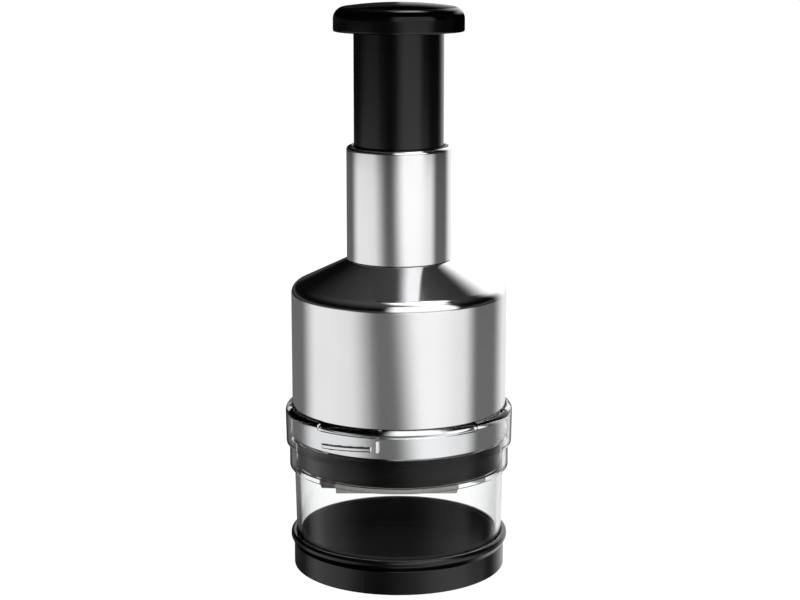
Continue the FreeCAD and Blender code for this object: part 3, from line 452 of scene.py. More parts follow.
class Value:
    """A number that runs through a node tree. Arithmetic on it adds Math nodes."""

    def __init__(self, nodes, socket):
        self.nodes = nodes
        self.socket = socket

    def math(self, operation, *others):
        """A Math node fed by this value and the others, in that order."""
        items = dict(enumerate((self, *others)))
        return self.nodes.value("ShaderNodeMath", 0, items, operation=operation)

    def __add__(self, other):
        return self.math("ADD", other)

    def __sub__(self, other):
        return self.math("SUBTRACT", other)

    def __rsub__(self, other):
        return self.nodes.value("ShaderNodeMath", 0, {0: other, 1: self}, operation="SUBTRACT")

    def __mul__(self, other):
        return self.math("MULTIPLY", other)

    __radd__ = __add__
    __rmul__ = __mul__

    def __neg__(self):
        return self.math("MULTIPLY", -1.0)

    def most(self, other):
        return self.math("MAXIMUM", other)

    def least(self, other):
        return self.math("MINIMUM", other)

    def ramp(self, start, end, low=0.0, high=1.0):
        """low up to start, high from end on, and an S-curve between them."""
        return self.nodes.value("ShaderNodeMapRange", "Result", {
            "Value": self, "From Min": start, "From Max": end, "To Min": low, "To Max": high},
            interpolation_type="SMOOTHSTEP")

    def fade(self, start, end):
        """1 up to start, 0 from end on, and an S-curve between them."""
        return self.ramp(start, end, 1.0, 0.0)

    def window(self, low, high, soft):
        """1 between low and high, 0 outside, with soft edges."""
        return self.ramp(low - soft, low + soft) * self.fade(high - soft, high + soft)

    def blend(self, other, mask):
        """This where mask is 0 and the other where it is 1."""
        return self + (other - self) * mask


class Nodes:
    """The node tree of a material or of the world."""

    def __init__(self, owner):
        owner.use_nodes = True
        self.tree = owner.node_tree
        self.tree.nodes.clear()

    def feed(self, place, item):
        """Links a value or a socket to an input, or sets the input to a constant."""
        if isinstance(item, Value):
            item = item.socket
        if isinstance(item, bpy.types.NodeSocket):
            self.tree.links.new(item, place)
        else:
            place.default_value = item

    def add(self, kind, inputs, **settings):
        """One node: its settings first, then the values or links of its sockets."""
        node = self.tree.nodes.new(kind)
        for name, value in settings.items():
            setattr(node, name, value)
        for name, value in inputs.items():
            self.feed(node.inputs[name], value)
        return node

    def value(self, kind, output, inputs, **settings):
        """The number that a node gives."""
        return Value(self, self.add(kind, inputs, **settings).outputs[output])

    def surface(self, kind, inputs):
        """The shader that a node gives."""
        return self.add(kind, inputs).outputs[0]

    def matt(self, colour):
        """A matt surface of one colour, or grey where one number is given."""
        colour = [colour] * 3 if isinstance(colour, float) else colour
        return self.surface("ShaderNodeBsdfDiffuse", {"Color": (*colour, 1.0)})

    def mixed(self, mask, first, second):
        """The first surface where the mask is 0 and the second where it is 1."""
        return self.surface("ShaderNodeMixShader", {"Fac": mask, 1: first, 2: second})

    def rays(self, *names):
        """What the Light Path node says of a ray, one value for each name."""
        path = self.add("ShaderNodeLightPath", {})
        return [Value(self, path.outputs[name]) for name in names]


finishes = {}


def noise(nodes, place, scale, detail=2.0, roughness=0.5):
    """Soft random values between 0 and 1, scale of them to a metre."""
    return nodes.value("ShaderNodeTexNoise", "Fac", {
        "Vector": place, "Scale": scale, "Detail": detail, "Roughness": roughness})


def finish(name, build):
    """Keeps a new material by name. build(nodes) makes its nodes and gives back its surface."""
    material = finishes[name] = bpy.data.materials.new(name)
    nodes = Nodes(material)
    nodes.add("ShaderNodeOutputMaterial", {"Surface": build(nodes)})


def object_place(nodes, stretch=None):
    """The place on the object in metres, or stretched by a factor along each axis."""
    place = nodes.add("ShaderNodeTexCoord", {}).outputs["Object"]
    if stretch is None:
        return place
    return nodes.add("ShaderNodeMapping", {"Vector": place, "Scale": stretch}).outputs["Vector"]


def apart(nodes, vector):
    """The three parts of a vector."""
    parts = nodes.add("ShaderNodeSeparateXYZ", {"Vector": vector})
    return tuple(Value(nodes, parts.outputs[name]) for name in "XYZ")


def tinted(nodes, base, other, mask):
    """The base colour, turned towards another where the mask is 1."""
    inputs = {"Factor": mask, "A": (*base, 1.0), "B": (*other, 1.0)}
    return nodes.add("ShaderNodeMix", inputs, data_type="RGBA").outputs["Result"]


def bumped(nodes, height, depth):
    """A normal tilted as if the height, 0 to 1, stood out by this depth in metres."""
    bump = nodes.add("ShaderNodeBump", {"Height": height, "Strength": 1.0, "Distance": depth})
    return bump.outputs["Normal"]


def shade(base, amount):
    """The colour made lighter or darker, no part of it over 1."""
    return tuple(min(1.0, part * amount) for part in base)


def polished_steel(base):
    """Mirror-polished sheet: a faint cloudiness in its gloss and a trace of polishing lines."""
    def build(nodes):
        cloud = noise(nodes, object_place(nodes), 60.0, 3.0)
        lines = noise(nodes, object_place(nodes, (14.0, 14.0, 1400.0)), 1.0, 2.0)
        tint = tinted(nodes, base, shade(base, 0.985), cloud.ramp(0.35, 0.65))
        return nodes.surface("ShaderNodeBsdfPrincipled", {
            "Base Color": tint, "Metallic": 1.0,
            "Roughness": 0.075 + cloud * 0.02 + lines * 0.012,
        })
    finish("polished_steel", build)


def drawn_steel(name, base, roughness, stretch):
    """Rolled, drawn or turned steel: fine lines one way, in its colour, gloss and relief."""
    def build(nodes):
        grain = noise(nodes, object_place(nodes, stretch), 1.0, 4.0, 0.6)
        tint = tinted(nodes, shade(base, 0.9), shade(base, 1.08), grain.ramp(0.3, 0.7))
        return nodes.surface("ShaderNodeBsdfPrincipled", {
            "Base Color": tint, "Metallic": 1.0, "Roughness": roughness + grain * 0.12,
            "Normal": bumped(nodes, grain, 4e-6),
        })
    finish(name, build)


def moulded(name, base, roughness, grain_scale, relief, gloss=0.5, matt=None, painted_gain=1.0):
    """Moulded plastic or rubber: a fine skin grain over a slow drift in gloss. Where matt, given
    the place across, back and up, comes to 1, the skin mirrors nothing and is painted instead:
    its colour, as many times the base as the last argument says, is painted light and shade."""
    def build(nodes):
        place = object_place(nodes)
        grain = noise(nodes, place, grain_scale, 2.0)
        drift = noise(nodes, place, 45.0, 2.0)
        tint = tinted(nodes, shade(base, 0.85), shade(base, 1.2), drift.ramp(0.3, 0.7))
        skin = nodes.surface("ShaderNodeBsdfPrincipled", {
            "Base Color": tint, "Roughness": roughness + grain * 0.06 + drift * 0.04,
            "IOR": 1.5, "Specular IOR Level": gloss, "Normal": bumped(nodes, grain, relief),
        })
        if matt is None:
            return skin
        # Where the mask is 1, painted light and shade in a matt colour stand in for the skin's
        # reflections
        return nodes.mixed(matt(*apart(nodes, place)), skin, nodes.matt(shade(base, painted_gain)))
    finish(name, build)


def clear_plastic(base, cup):
    """Clear polished plastic, with painted highlights on the inner faces of its stop ribs and
    painted shade in the edges of its collar and band. Light that lights what stands inside passes
    straight through."""
    def build(nodes):
        place = object_place(nodes)
        haze = noise(nodes, place, 90.0, 2.0)
        plastic = nodes.surface("ShaderNodeBsdfPrincipled", {
            "Base Color": tinted(nodes, base, shade(base, 0.99), haze),
            "Roughness": 0.012 + haze * 0.012, "IOR": 1.5, "Transmission Weight": 1.0,
            "Specular Tint": (0.12, 0.12, 0.12, 1.0),
        })
        across, back, up = apart(nodes, place)
        # A cosine that peaks at each stop rib picks out the ribs' directions
        near = ((back.math("ARCTAN2", across) - cup.stop_turn) * float(cup.locks)).math("COSINE")
        edge = math.cos(cup.locks * cup.stop_span / 2)
        reach = cup.collar_inner ** 2
        inner = (across * across + back * back).fade(reach - 2e-5, reach)
        ribs = inner * up.window(cup.stop_foot, cup.stop_top, 0.2 * MM)
        # Painted highlight: on the stop ribs' inner faces the plastic turns matt white
        body = nodes.mixed(near.ramp(edge - 3e-4, edge) * ribs, plastic, nodes.matt(0.9))
        facing = nodes.value("ShaderNodeLayerWeight", "Facing", {"Blend": 0.5})
        # Painted shade: where the collar and band turn away from the view, above the band's foot,
        # they turn toward matt near-black
        painted_edge_shade = facing.ramp(0.76, 0.88, 0.0, 0.8) * up.ramp(cup.band_foot - 0.6 * MM, cup.band_foot)
        body = nodes.mixed(painted_edge_shade, body, nodes.matt(0.02))
        shadow, scattered = nodes.rays("Is Shadow Ray", "Diffuse Depth")
        straight = nodes.surface("ShaderNodeBsdfTransparent", {"Color": (0.96, 0.96, 0.96, 1.0)})
        return nodes.mixed(shadow.most(scattered.least(1.0)), body, straight)
    finish("clear_plastic", build)


def knob_painted_shade(across, back, up):
    """How far the knob's reflections are blanked out with painted shade: on its bend but for the
    right end, less where the bend starts, on its side at the right, and on its dome, less behind
    the middle."""
    bend = up.window(232.5 * MM, 234.5 * MM, 0.3 * MM) * across.fade(21.0 * MM, 25.0 * MM)
    wall = up.window(230.7 * MM, 232.6 * MM, 0.2 * MM) * 0.4
    side = across.ramp(20.5 * MM, 22.5 * MM) * up.fade(232.5 * MM, 234.0 * MM)
    dome = up.ramp(235.2 * MM, 235.4 * MM) * back.ramp(-18.0 * MM, 0.0, 1.0, 0.5)
    return bend.most(dome).most(wall).most(side)


def tray_painted_light(across, back, up):
    """How far the tray's inside is painted light, a lighter matt in place of its reflections:
    within its groove, from just below the floor upwards.
    """
    tray = settings().tray
    near, far = tray.groove_inner + 0.2 * MM, tray.groove_inner + 0.4 * MM
    inside = (across * across + back * back).fade(near ** 2, far ** 2)
    return inside * up.ramp(tray.floor - 0.5 * MM, tray.floor - 0.2 * MM)


def settings():
    """The sizes, colours and studio values that a user can change."""
    return bpy.context.scene.chopper


class CHOPPER_OT_finishes(bpy.types.Operator):
    """Make the materials of steel, plastic and rubber"""

    bl_idname = "chopper.finishes"
    bl_label = "Finishes"

    def execute(self, context):
        colours = settings().finishes
        polished_steel(colours.steel)
        drawn_steel("blade_steel", colours.blade, 0.24, (900.0, 900.0, 40.0))
        drawn_steel("spring_steel", colours.wire, 0.2, (60.0, 60.0, 60.0))
        drawn_steel("spindle_steel", colours.rod, 0.18, (60.0, 60.0, 2500.0))
        moulded("black_plastic", colours.black, 0.24, 2600.0, 2e-6, 0.28)
        moulded("satin_black_plastic", colours.black, 0.12, 3000.0, 6e-7)
        # On the knob the matt patches are painted shade, in place of its reflections
        moulded("gloss_black_plastic", colours.black, 0.1, 3000.0, 3e-7, matt=knob_painted_shade)
        # Inside the tray a matt copy of its black, 32 times lighter, is painted light in place of
        # its reflections
        moulded("tray_plastic", colours.black, 0.15, 2800.0, 1e-6, matt=tray_painted_light, painted_gain=32.0)
        moulded("black_rubber", colours.rubber, 0.6, 2000.0, 6e-6)
        moulded("white_acetal", colours.white, 0.3, 1800.0, 1e-6)
        clear_plastic(colours.clear, settings().cup)
        return {"FINISHED"}


class CHOPPER_OT_housing(bpy.types.Operator):
    """Make the steel body with its pressed lugs, and the neck"""

    bl_idname = "chopper.housing"
    bl_label = "Steel housing"

    def execute(self, context):
        steel, locks = settings().steel, settings().cup.locks
        fall = math.tan(steel.slope)
        inner_drop = steel.wall / math.cos(steel.slope)
        inner, inside = steel.neck - steel.neck_wall, steel.radius - steel.wall

        def cone(radius):
            """Height of the cone's outer face."""
            return steel.neck_foot - (radius - steel.neck) * fall

        fine = 0.12 * MM
        path = rounded([
            (steel.radius, steel.foot, fine),
            (steel.radius, cone(steel.radius), steel.bend),
            (steel.neck, steel.neck_foot, fine),
            (inner, steel.neck_foot, fine),
            (inner, cone(inner) - inner_drop, fine),
            (inside, cone(inside) - inner_drop, steel.bend - steel.wall),
            (inside, steel.foot, fine),
        ], closed=True, steps=14)
        rows = np.arange(steel.lug_low - MM, steel.lug_high + MM, 0.15 * MM)
        path = extra_heights(path, rows)
        middles = spread(steel.lug_turn, locks)
        # A lug's ends rise within the angle edge, its lower edge within the share crease
        half, edge, crease = steel.lug_span / 2, 0.018, 0.2

        def eased(t):
            """A quarter circle, sqrt(1 - (1 - t)^2), with t kept between 0 and 1."""
            return np.sqrt(1 - (1 - np.clip(t, 0, 1)) ** 2)

        def press_lugs(radius, height, turn):
            """The outer face swells by the rise times a quarter circle of t. From the lower edge t
            goes from 0 to 1 within the crease, from the upper edge within one rise, and from both
            ends within the angle edge. The lug climbs evenly from one end to the other."""
            aside = wrapped(turn[..., None] - middles)
            aside = np.take_along_axis(aside, np.abs(aside).argmin(-1)[..., None], -1)[..., 0]
            level = height - steel.lug_climb * aside / steel.lug_span
            from_foot = (level - steel.lug_low) / (crease * (steel.lug_high - steel.lug_low))
            from_top = (steel.lug_high - level) / steel.lug_rise
            swell = eased(np.minimum(from_foot, from_top)) * eased((half - np.abs(aside)) / edge)
            outer = radius > steel.radius - steel.wall / 2
            return radius + np.where(outer, steel.lug_rise * swell, 0)

        low, high = middles - half, middles + half
        close = np.linspace(0, edge, 7)[:, None]
        marks = wrapped(np.concatenate([(low + close).ravel(), (high - close).ravel()]))
        turns = even_turn(288, np.concatenate([low, high]))
        turns = np.unique(np.round(np.concatenate([turns, marks]), 7))
        shell = turned("body_shell", path, turns=turns, shape=press_lugs)
        fit(shell, "housing_shell", "housing", "polished_steel")

        foot, tiny = steel.neck_foot + steel.seam, 0.02 * MM
        path = rounded([
            (inner, foot, fine),
            (steel.neck, foot, fine),
            (steel.neck, steel.neck_top, steel.lip),
            (steel.neck - steel.lip, steel.neck_top, tiny),
            (steel.neck - steel.lip, steel.neck_top - steel.neck_wall, tiny),
            (inner, steel.neck_top - steel.neck_wall, 0.9 * (steel.lip - steel.neck_wall)),
        ], closed=True, steps=10)
        neck = turned("neck_tube", path)
        fit(neck, "neck_sleeve", "housing", "polished_steel")
        return {"FINISHED"}


class CHOPPER_OT_plunger(bpy.types.Operator):
    """Make the knob, the stem and the bushing that it slides in"""

    bl_idname = "chopper.plunger"
    bl_label = "Plunger"

    def execute(self, context):
        sizes = settings().plunger
        fine, play = 0.3 * MM, 0.06 * MM
        inner = sizes.stem - sizes.stem_wall
        socket, plug = sizes.stem + play, inner - play
        side = rounded([
            (0, sizes.plug, 0),
            (plug, sizes.plug, fine),
            (plug, sizes.stem_top, fine / 6),
            (socket, sizes.stem_top, fine / 6),
            (socket, sizes.knob_foot, fine / 2),
            (sizes.core_inner, sizes.knob_foot, fine),
            (sizes.core_inner, sizes.core_top, fine),
            (sizes.core_outer, sizes.core_top, fine),
            (sizes.core_outer, sizes.knob_foot, fine),
            (sizes.knob, sizes.knob_foot, 0.6 * MM),
            (sizes.knob, sizes.knob_side, 0),
        ], closed=False, steps=6)
        bend = sizes.knob - sizes.knob_bend
        dome = bend / math.sin(sizes.dome) + sizes.knob_bend
        upright = math.pi / 2
        edge = arc((bend, sizes.knob_side), sizes.knob_bend, 0, upright - sizes.dome, 18)
        dome_centre = edge[-1, 1] - dome * math.cos(sizes.dome)
        crown = arc((0, dome_centre), dome, upright - sizes.dome, upright, 24)
        crown[-1, 0] = 0
        knob = turned("push_knob", np.vstack([side, edge[1:], crown[1:]]), closed=False)
        fit(knob, "plunger_knob", "plunger", "gloss_black_plastic")

        path = rounded([
            (inner, sizes.stem_foot, fine),
            (sizes.flange, sizes.stem_foot, fine),
            (sizes.flange, sizes.flange_top, fine),
            (sizes.stem, sizes.flange_top, fine),
            (sizes.stem, sizes.stem_top, fine),
            (inner, sizes.stem_top, fine),
        ], closed=True)
        floor = sizes.stem - 0.1 * MM

        def cut_notches(radius, height, turn):
            """Within the notch's half width of the X axis the flange is cut back to the floor."""
            notched = np.abs(radius * np.sin(turn)) < sizes.notch
            notched = notched & (height < sizes.flange_top + fine / 2)
            return np.where(notched, np.minimum(radius, floor), radius)

        width = sizes.notch / sizes.flange
        turns = even_turn(192, [-width, width, math.pi - width, math.pi + width])
        stem = turned("plunger_tube", path, turns=turns, shape=cut_notches)
        fit(stem, "plunger_stem", "plunger", "satin_black_plastic")

        bore = sizes.stem + sizes.gap
        path = rounded([
            (bore, sizes.bush_foot, fine),
            (sizes.bush, sizes.bush_foot, fine),
            (sizes.bush, sizes.bush_seat, fine / 3),
            (sizes.bush_flange, sizes.bush_seat, fine / 3),
            (sizes.bush_flange, sizes.bush_top, 0.5 * MM),
            (bore, sizes.bush_top, fine),
        ], closed=True)
        bush = turned("guide_bushing", path)
        fit(bush, "neck_bushing", "housing", "black_plastic")
        return {"FINISHED"}


class CHOPPER_OT_spring(bpy.types.Operator):
    """Make the return spring on a mesh of its own; the real spring shortens as the plunger goes
    down, which this one does not
    """

    bl_idname = "chopper.spring"
    bl_label = "Return spring"

    def execute(self, context):
        sizes = settings().plunger
        spring = coiled("coil_spring", sizes.coil, sizes.wire, sizes.coil_foot + sizes.wire,
                        sizes.coil_top - sizes.wire, sizes.coils)
        fit(spring, "return_spring", "housing", "spring_steel")
        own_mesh(spring)
        return {"FINISHED"}


class CHOPPER_OT_cup(bpy.types.Operator):
    """Make the clear container with its lip, entry gaps and stop ribs, and the ring inside it"""

    bl_idname = "chopper.cup"
    bl_label = "Clear container"

    def execute(self, context):
        cup = settings().cup
        fine = 0.15 * MM
        path = rounded([
            (cup.wall_low - cup.thick, cup.foot, fine),
            (cup.wall_low, cup.foot, fine),
            (cup.wall, cup.band_foot, fine),
            (cup.band, cup.band_foot, cup.band_edge),
            (cup.band, cup.collar_foot, fine),
            (cup.collar_low, cup.collar_foot, cup.collar_edge),
            (cup.collar, cup.collar_top, cup.collar_bend),
            (cup.lip, cup.collar_top, 0.3 * fine),
            (cup.lip, cup.lip_low, fine),
            (cup.collar_inner, cup.lip_low, fine),
            (cup.collar_inner, cup.ledge, fine / 3),
            (cup.band_inner, cup.ledge, fine),
            (cup.band_inner, cup.band_floor, fine),
            (cup.wall - cup.thick, cup.band_floor, 0.4 * MM),
        ], closed=True, steps=9)
        path = extra_heights(path, [cup.stop_foot - fine, cup.stop_foot + fine])
        entries, stops = spread(cup.entry_turn, cup.locks), spread(cup.stop_turn, cup.locks)

        def away_from(turn, middles):
            """The angle to the nearest of the middles."""
            return np.abs(wrapped(turn[..., None] - middles)).min(-1)

        def cut_and_add(radius, height, turn):
            """In an entry gap the lip is cut back to the collar's inner wall; at a stop rib the
            inner wall comes in to the lip."""
            in_entry = away_from(turn, entries) < cup.entry_span / 2
            in_stop = away_from(turn, stops) < cup.stop_span / 2
            lip = height > cup.lip_low - 2 * fine
            radius = np.where(in_entry & lip, np.maximum(radius, cup.collar_inner), radius)
            rib = in_stop & (height > cup.stop_foot) & (height < cup.lip_low + fine)
            rib = rib & (radius < cup.collar_inner + fine)
            return np.where(rib, np.minimum(radius, cup.lip), radius)

        edges = np.concatenate([entries - cup.entry_span / 2, entries + cup.entry_span / 2,
                                stops - cup.stop_span / 2, stops + cup.stop_span / 2])
        wall = turned("clear_cup", path, turns=even_turn(256, edges), shape=cut_and_add)
        fit(wall, "container", "container", "clear_plastic")

        path = rounded([
            (cup.ring_inner, cup.ring_foot, 2 * fine),
            (cup.ring_outer, cup.ring_foot, 4 * fine),
            (cup.ring_outer, cup.ring_top, fine),
            (cup.ring_inner, cup.ring_top, fine),
        ], closed=True)
        ring = turned("wiper_ring", path)
        fit(ring, "wiper_retainer", "housing", "black_plastic")
        return {"FINISHED"}


class CHOPPER_OT_tray(bpy.types.Operator):
    """Make the black tray with its groove and rim"""

    bl_idname = "chopper.tray"
    bl_label = "Tray"

    def execute(self, context):
        tray = settings().tray
        fine = 0.2 * MM
        path = rounded([
            (0, tray.low, 0),
            (tray.foot_inner, tray.low, fine),
            (tray.foot_inner, tray.foot_top, fine),
            (tray.foot_outer, tray.foot_top, fine),
            (tray.foot_outer, tray.low, fine),
            (tray.radius, tray.low, tray.edge),
            (tray.radius, tray.rim_low - 2 * fine, 3 * fine),
            (tray.rim, tray.rim_low + tray.rim_taper, 4 * fine),
            (tray.rim, tray.rim_top, tray.rim_bend),
            (tray.groove_outer, tray.rim_top, fine),
            (tray.groove_outer, tray.floor, fine),
            (tray.groove_inner, tray.floor, fine),
            (tray.groove_inner, tray.inner_top, 0.6 * MM),
            (tray.inner, tray.inner_top, 0.6 * MM),
            (tray.inner, tray.floor, tray.cove),
            (0, tray.floor, 0),
        ], closed=False, steps=8)
        piece = turned("base_cap", path, closed=False)
        fit(piece, "base_tray", "base", "tray_plastic")
        return {"FINISHED"}


class CHOPPER_OT_blade(bpy.types.Operator):
    """Make the folded blade"""

    bl_idname = "chopper.blade"
    bl_label = "Blade"

    def execute(self, context):
        sizes = settings().blade
        front = np.stack([sizes.fold_across[:], sizes.fold_along[:]], 1)
        centres = np.vstack([front, -front[::-1]])
        straight = np.diff(centres, axis=0)
        swing = np.arcsin(2 * sizes.fold / np.linalg.norm(straight, axis=1))
        side = np.where(np.arange(len(centres)) % 2 == 0, 1.0, -1.0)
        heading = np.arctan2(straight[:, 1], straight[:, 0]) + swing * side[:-1]
        heading = np.concatenate([[0.0], heading, [0.0]])
        # A fold swings from one heading to the next, left and right in turn
        change = (heading[1:] - heading[:-1]) * side % ROUND * side
        turn = heading[:-1, None] + change[:, None] * np.linspace(0, 1, 13)
        outward = np.stack([np.sin(turn), -np.cos(turn)], -1) * side[:, None, None]
        folds = centres[:, None] + sizes.fold * outward
        normals = np.stack([-np.sin(turn), np.cos(turn)], -1)
        # Guard points a quarter of a millimetre before and after each fold keep the runs flat
        run = np.stack([np.cos(turn), np.sin(turn)], -1) * 0.25 * MM
        path = np.concatenate([folds[:, :1] - run[:, :1], folds, folds[:, -1:] + run[:, -1:]], 1)
        path = path.reshape(-1, 2)
        sides = np.concatenate([normals[:, :1], normals, normals[:, -1:]], 1).reshape(-1, 2)
        start = np.array([sizes.end, folds[0, 0, 1]])
        path = np.vstack([start, path, -start])
        sides = np.vstack([sides[:1], sides, sides[-1:]])
        section = np.array([
            (-sizes.land, sizes.tip),
            (sizes.land, sizes.tip),
            (sizes.half, sizes.tip + sizes.bevel),
            (sizes.half, sizes.top),
            (-sizes.half, sizes.top),
            (-sizes.half, sizes.tip + sizes.bevel),
        ])
        blade = swept("folded_blade", path, sides, section)
        fit(blade, "zigzag_blade", "blades", "blade_steel")
        return {"FINISHED"}


class CHOPPER_OT_small_parts(bpy.types.Operator):
    """Smooth the liner, the wiper, the hub and the small parts, whose shapes are already right"""

    bl_idname = "chopper.small_parts"
    bl_label = "Liner and small parts"

    def execute(self, context):
        slots = {row["node"]: row["material_slot"] for row in frame["record"]["subparts"]}
        bodies = frame["record"]["behaviour"]["bodies"]
        for body, members in bodies.items():
            for node in members:
                if frame["nodes"][node].hide_render:
                    continue
                piece = smooth_copy(f"{node}_smooth", node)
                fit(piece, node, body, slots[node])
        return {"FINISHED"}


class CHOPPER_OT_studio(bpy.types.Operator):
    """Make the floor, the camera and the light"""

    bl_idname = "chopper.studio"
    bl_label = "Studio"

    def execute(self, context):
        studio = settings().studio
        scene = context.scene
        scene.view_settings.view_transform = "Standard"

        corner = studio.floor
        floor = new_piece("studio_floor", [
            (-corner, -corner, 0), (corner, -corner, 0), (corner, corner, 0), (-corner, corner, 0)],
            [(0, 1, 2, 3)])
        finish("studio_floor", self.floor_surface)
        floor.data.materials.append(finishes["studio_floor"])
        floor.visible_glossy = False

        camera = bpy.data.objects.new("camera", bpy.data.cameras.new("camera"))
        scene.collection.objects.link(camera)
        camera.data.lens = studio.lens
        camera.location = (studio.camera_across, -studio.camera_back, studio.camera_height)
        camera.rotation_euler = (math.pi / 2 - studio.camera_tilt, 0, 0)
        scene.camera = camera

        light = bpy.data.lights.new("overhead_light", "AREA")
        light.size = studio.key
        light.energy = studio.key_power
        lamp = bpy.data.objects.new("overhead_light", light)
        lamp.location = studio.key_place
        lamp.rotation_euler = studio.key_tilt
        lamp.visible_glossy = False
        lamp.visible_transmission = False
        scene.collection.objects.link(lamp)

        world = bpy.data.worlds.new("studio")
        scene.world = world
        world.cycles.sampling_method = "NONE"
        self.surroundings(Nodes(world), studio.ambient)
        return {"FINISHED"}

    def floor_surface(self, nodes):
        """White to the camera and through the clear plastic, with a trace of the shadow. What is
        mirrored passes through it to the cards and boxes below the horizon."""
        names = "Is Camera Ray", "Is Transmission Ray", "Glossy Depth"
        camera, inside, mirrored = nodes.rays(*names)
        # What the plastic turns to the front or to the sides meets a dark floor
        across, back, _ = apart(nodes, object_place(nodes))
        behind = (back + 0.1 - across.math("ABSOLUTE") * 1.4).ramp(-0.05, 0.05)
        white = nodes.surface("ShaderNodeEmission", {"Strength": 0.93})
        shown = nodes.surface("ShaderNodeAddShader", {0: nodes.matt(0.16), 1: white})
        shown = nodes.mixed(behind.blend(1.0, camera), nodes.matt(0.01), shown)
        lit = nodes.mixed(camera.most(inside), nodes.matt(0.8), shown)
        through = nodes.surface("ShaderNodeBsdfTransparent", {})
        return nodes.mixed(mirrored.least(1.0), lit, through)

    def surroundings(self, nodes, ambient):
        """White to the camera and through clear plastic, plain light to everything matt, and the
        studio's boxes and cards, by direction, to whatever is mirrored. Azimuth is 0 in front and
        grows to the right, both it and elevation in degrees."""
        across, back, up = apart(nodes, nodes.add("ShaderNodeTexCoord", {}).outputs["Generated"])
        degrees = 180.0 / math.pi
        azimuth = across.math("ARCTAN2", -back) * degrees
        elevation = up.math("ARCSINE") * degrees

        level = elevation.ramp(-13.0, -8.5, 0.155, 0.115) * elevation.ramp(-8.0, 12.0, 1.0, 0.03)
        level = level * elevation.ramp(-19.5, -17.5, 0.2, 1.0)
        level = level.most(elevation.ramp(18.0, 75.0, 0.0, 0.06))
        # high: what the stem and the knob mirror, low: what the tray mirrors
        high, low = elevation.ramp(-7.1, -6.8), elevation.fade(-19.0, -17.5)
        level = level * (1.0 - high * elevation.ramp(-4.0, 2.0, 0.9, 0.0))
        # The boxes' inner edges lean to the right towards their feet
        lean = elevation.ramp(-20.0, -6.0, 16.0, -5.0)
        inner = azimuth - lean * 0.5 + low * 20.0
        left = azimuth.ramp(-128.0, -98.0) * inner.fade(-58.0, -22.0)
        upper = azimuth.ramp(-115.0, -75.0) * azimuth.fade(-60.0, -44.0)
        left = left.blend(upper, high)
        left = left * elevation.fade(-3.0, 1.0)
        glow = azimuth.ramp(-80.0, -45.0, 0.86, 0.8)
        level = level.blend(glow.blend(elevation.ramp(-7.5, -2.5, 0.44, 0.06), high), left)
        inner = azimuth - lean - low * 15.0
        right = inner.ramp(-16.0, 18.0) * azimuth.fade(71.0, 93.0)
        upper = azimuth.ramp(-10.0, 14.0) * azimuth.fade(48.0, 68.0)
        right = right.blend(upper, high)
        right = right * elevation.fade(-1.0, 10.0)
        glow = azimuth.ramp(35.0, 80.0, 1.0, 0.8) * elevation.ramp(-12.5, -8.5, 1.0, 1.12)
        level = level.blend(glow.blend(elevation.ramp(-7.5, -2.5, 1.08, 0.52), high), right)
        # Below the boxes it is dark, but for a card on the table in front and one at its right
        level = level * elevation.ramp(-27.0, -22.0)
        table = azimuth.window(-10.0, 56.0, 10.0) * elevation.fade(-28.0, -23.2)
        table = table * elevation.ramp(-68.0, -60.0)
        side = azimuth.window(50.0, 110.0, 8.0) * elevation.window(-35.0, -21.0, 1.5)
        level = level.blend(1.2, table.most(side))
        # A box high in front, a card behind, a box overhead and a small bright lamp in it
        front = azimuth.ramp(-17.0, -2.0) * azimuth.fade(61.0, 69.0)
        front = front * elevation.window(2.5, 54.0, 2.5)
        level = level.blend(1.15, front)
        card = azimuth.fade(-179.0, -170.0) * elevation.ramp(12.0, 16.0)
        card = (azimuth.ramp(118.0, 150.0) + card) * elevation.fade(26.0, 44.0)
        level = level.blend(elevation.ramp(-12.0, 8.0, 0.86, 1.2), card)
        over = across.ramp(-0.17, -0.04) * (across + back * 0.72).fade(0.44, 0.54)
        over = over * (across + (back + 0.44) * 1.1).ramp(-0.12, 0.40) * back.fade(0.41, 0.47)
        over = over * elevation.ramp(40.0, 60.0)
        level = level.blend(1.15, over)
        aside, behind = (across - 0.19) * 3.6, (back - 0.1) * 3.2
        heart = 1.0 - aside * aside - behind * behind
        level = level + heart.ramp(0.0, 1.0) * elevation.ramp(0.0, 10.0) * 7.0

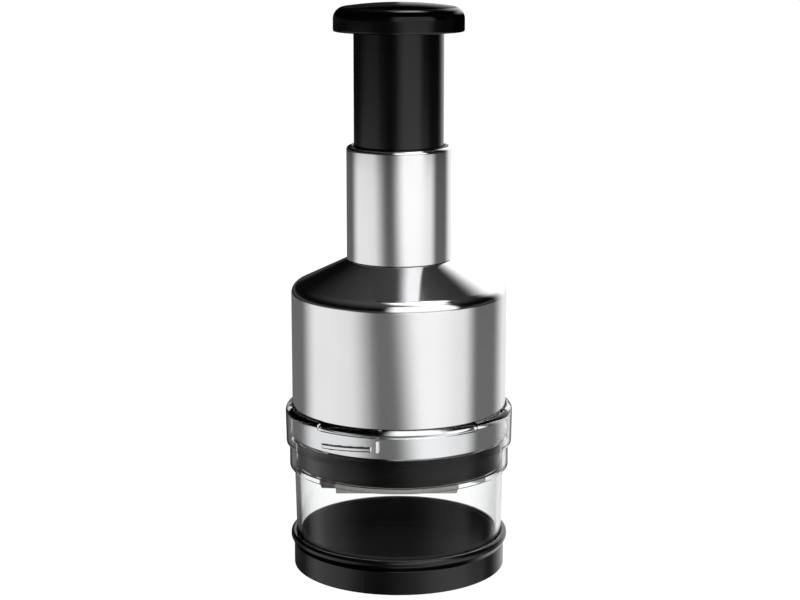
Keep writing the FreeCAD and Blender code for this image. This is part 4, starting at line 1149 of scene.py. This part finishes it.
        seen, mirrored, scattered = nodes.rays("Is Camera Ray", "Glossy Depth", "Diffuse Depth")
        strength = back.ramp(0.35, 0.6, 0.12, 1.0).blend(1.0, seen)
        strength = strength.blend(level, mirrored.least(1.0))
        strength = strength.blend(ambient, scattered.least(1.0))
        white = (1.0, 1.0, 1.0, 1.0)
        background = nodes.surface("ShaderNodeBackground", {"Color": white, "Strength": strength})
        nodes.add("ShaderNodeOutputWorld", {"Surface": background})


OPERATORS = (
    CHOPPER_OT_finishes,
    CHOPPER_OT_housing,
    CHOPPER_OT_plunger,
    CHOPPER_OT_spring,
    CHOPPER_OT_cup,
    CHOPPER_OT_tray,
    CHOPPER_OT_blade,
    CHOPPER_OT_small_parts,
    CHOPPER_OT_studio,
)


class Chopper(bpy.types.PropertyGroup):
    """Everything that a user can change."""

    steel: PointerProperty(type=SteelSizes)
    plunger: PointerProperty(type=PlungerSizes)
    cup: PointerProperty(type=CupSizes)
    tray: PointerProperty(type=TraySizes)
    blade: PointerProperty(type=BladeSizes)
    finishes: PointerProperty(type=Finishes)
    studio: PointerProperty(type=StudioSizes)


class CHOPPER_PT_panel(bpy.types.Panel):
    """Lists the pieces and their sizes."""

    bl_label = "Chopper"
    bl_idname = "CHOPPER_PT_panel"
    bl_space_type = "VIEW_3D"
    bl_region_type = "UI"
    bl_category = "Chopper"

    def draw(self, context):
        for operator in OPERATORS:
            self.layout.operator(operator.bl_idname)
        for group in Chopper.__annotations__:
            box = self.layout.box()
            sizes = getattr(context.scene.chopper, group)
            box.label(text=sizes.bl_rna.name)
            for name in type(sizes).__annotations__:
                box.prop(sizes, name)


CLASSES = (*SIZES, Chopper, *OPERATORS, CHOPPER_PT_panel)


def register():
    for item in CLASSES:
        bpy.utils.register_class(item)
    bpy.types.Scene.chopper = PointerProperty(type=Chopper)


def unregister():
    del bpy.types.Scene.chopper
    for item in reversed(CLASSES):
        bpy.utils.unregister_class(item)


def main():
    register()
    for operator in OPERATORS:
        group, name = operator.bl_idname.split(".")
        getattr(getattr(bpy.ops, group), name)()


if __name__ == "__main__":
    main()
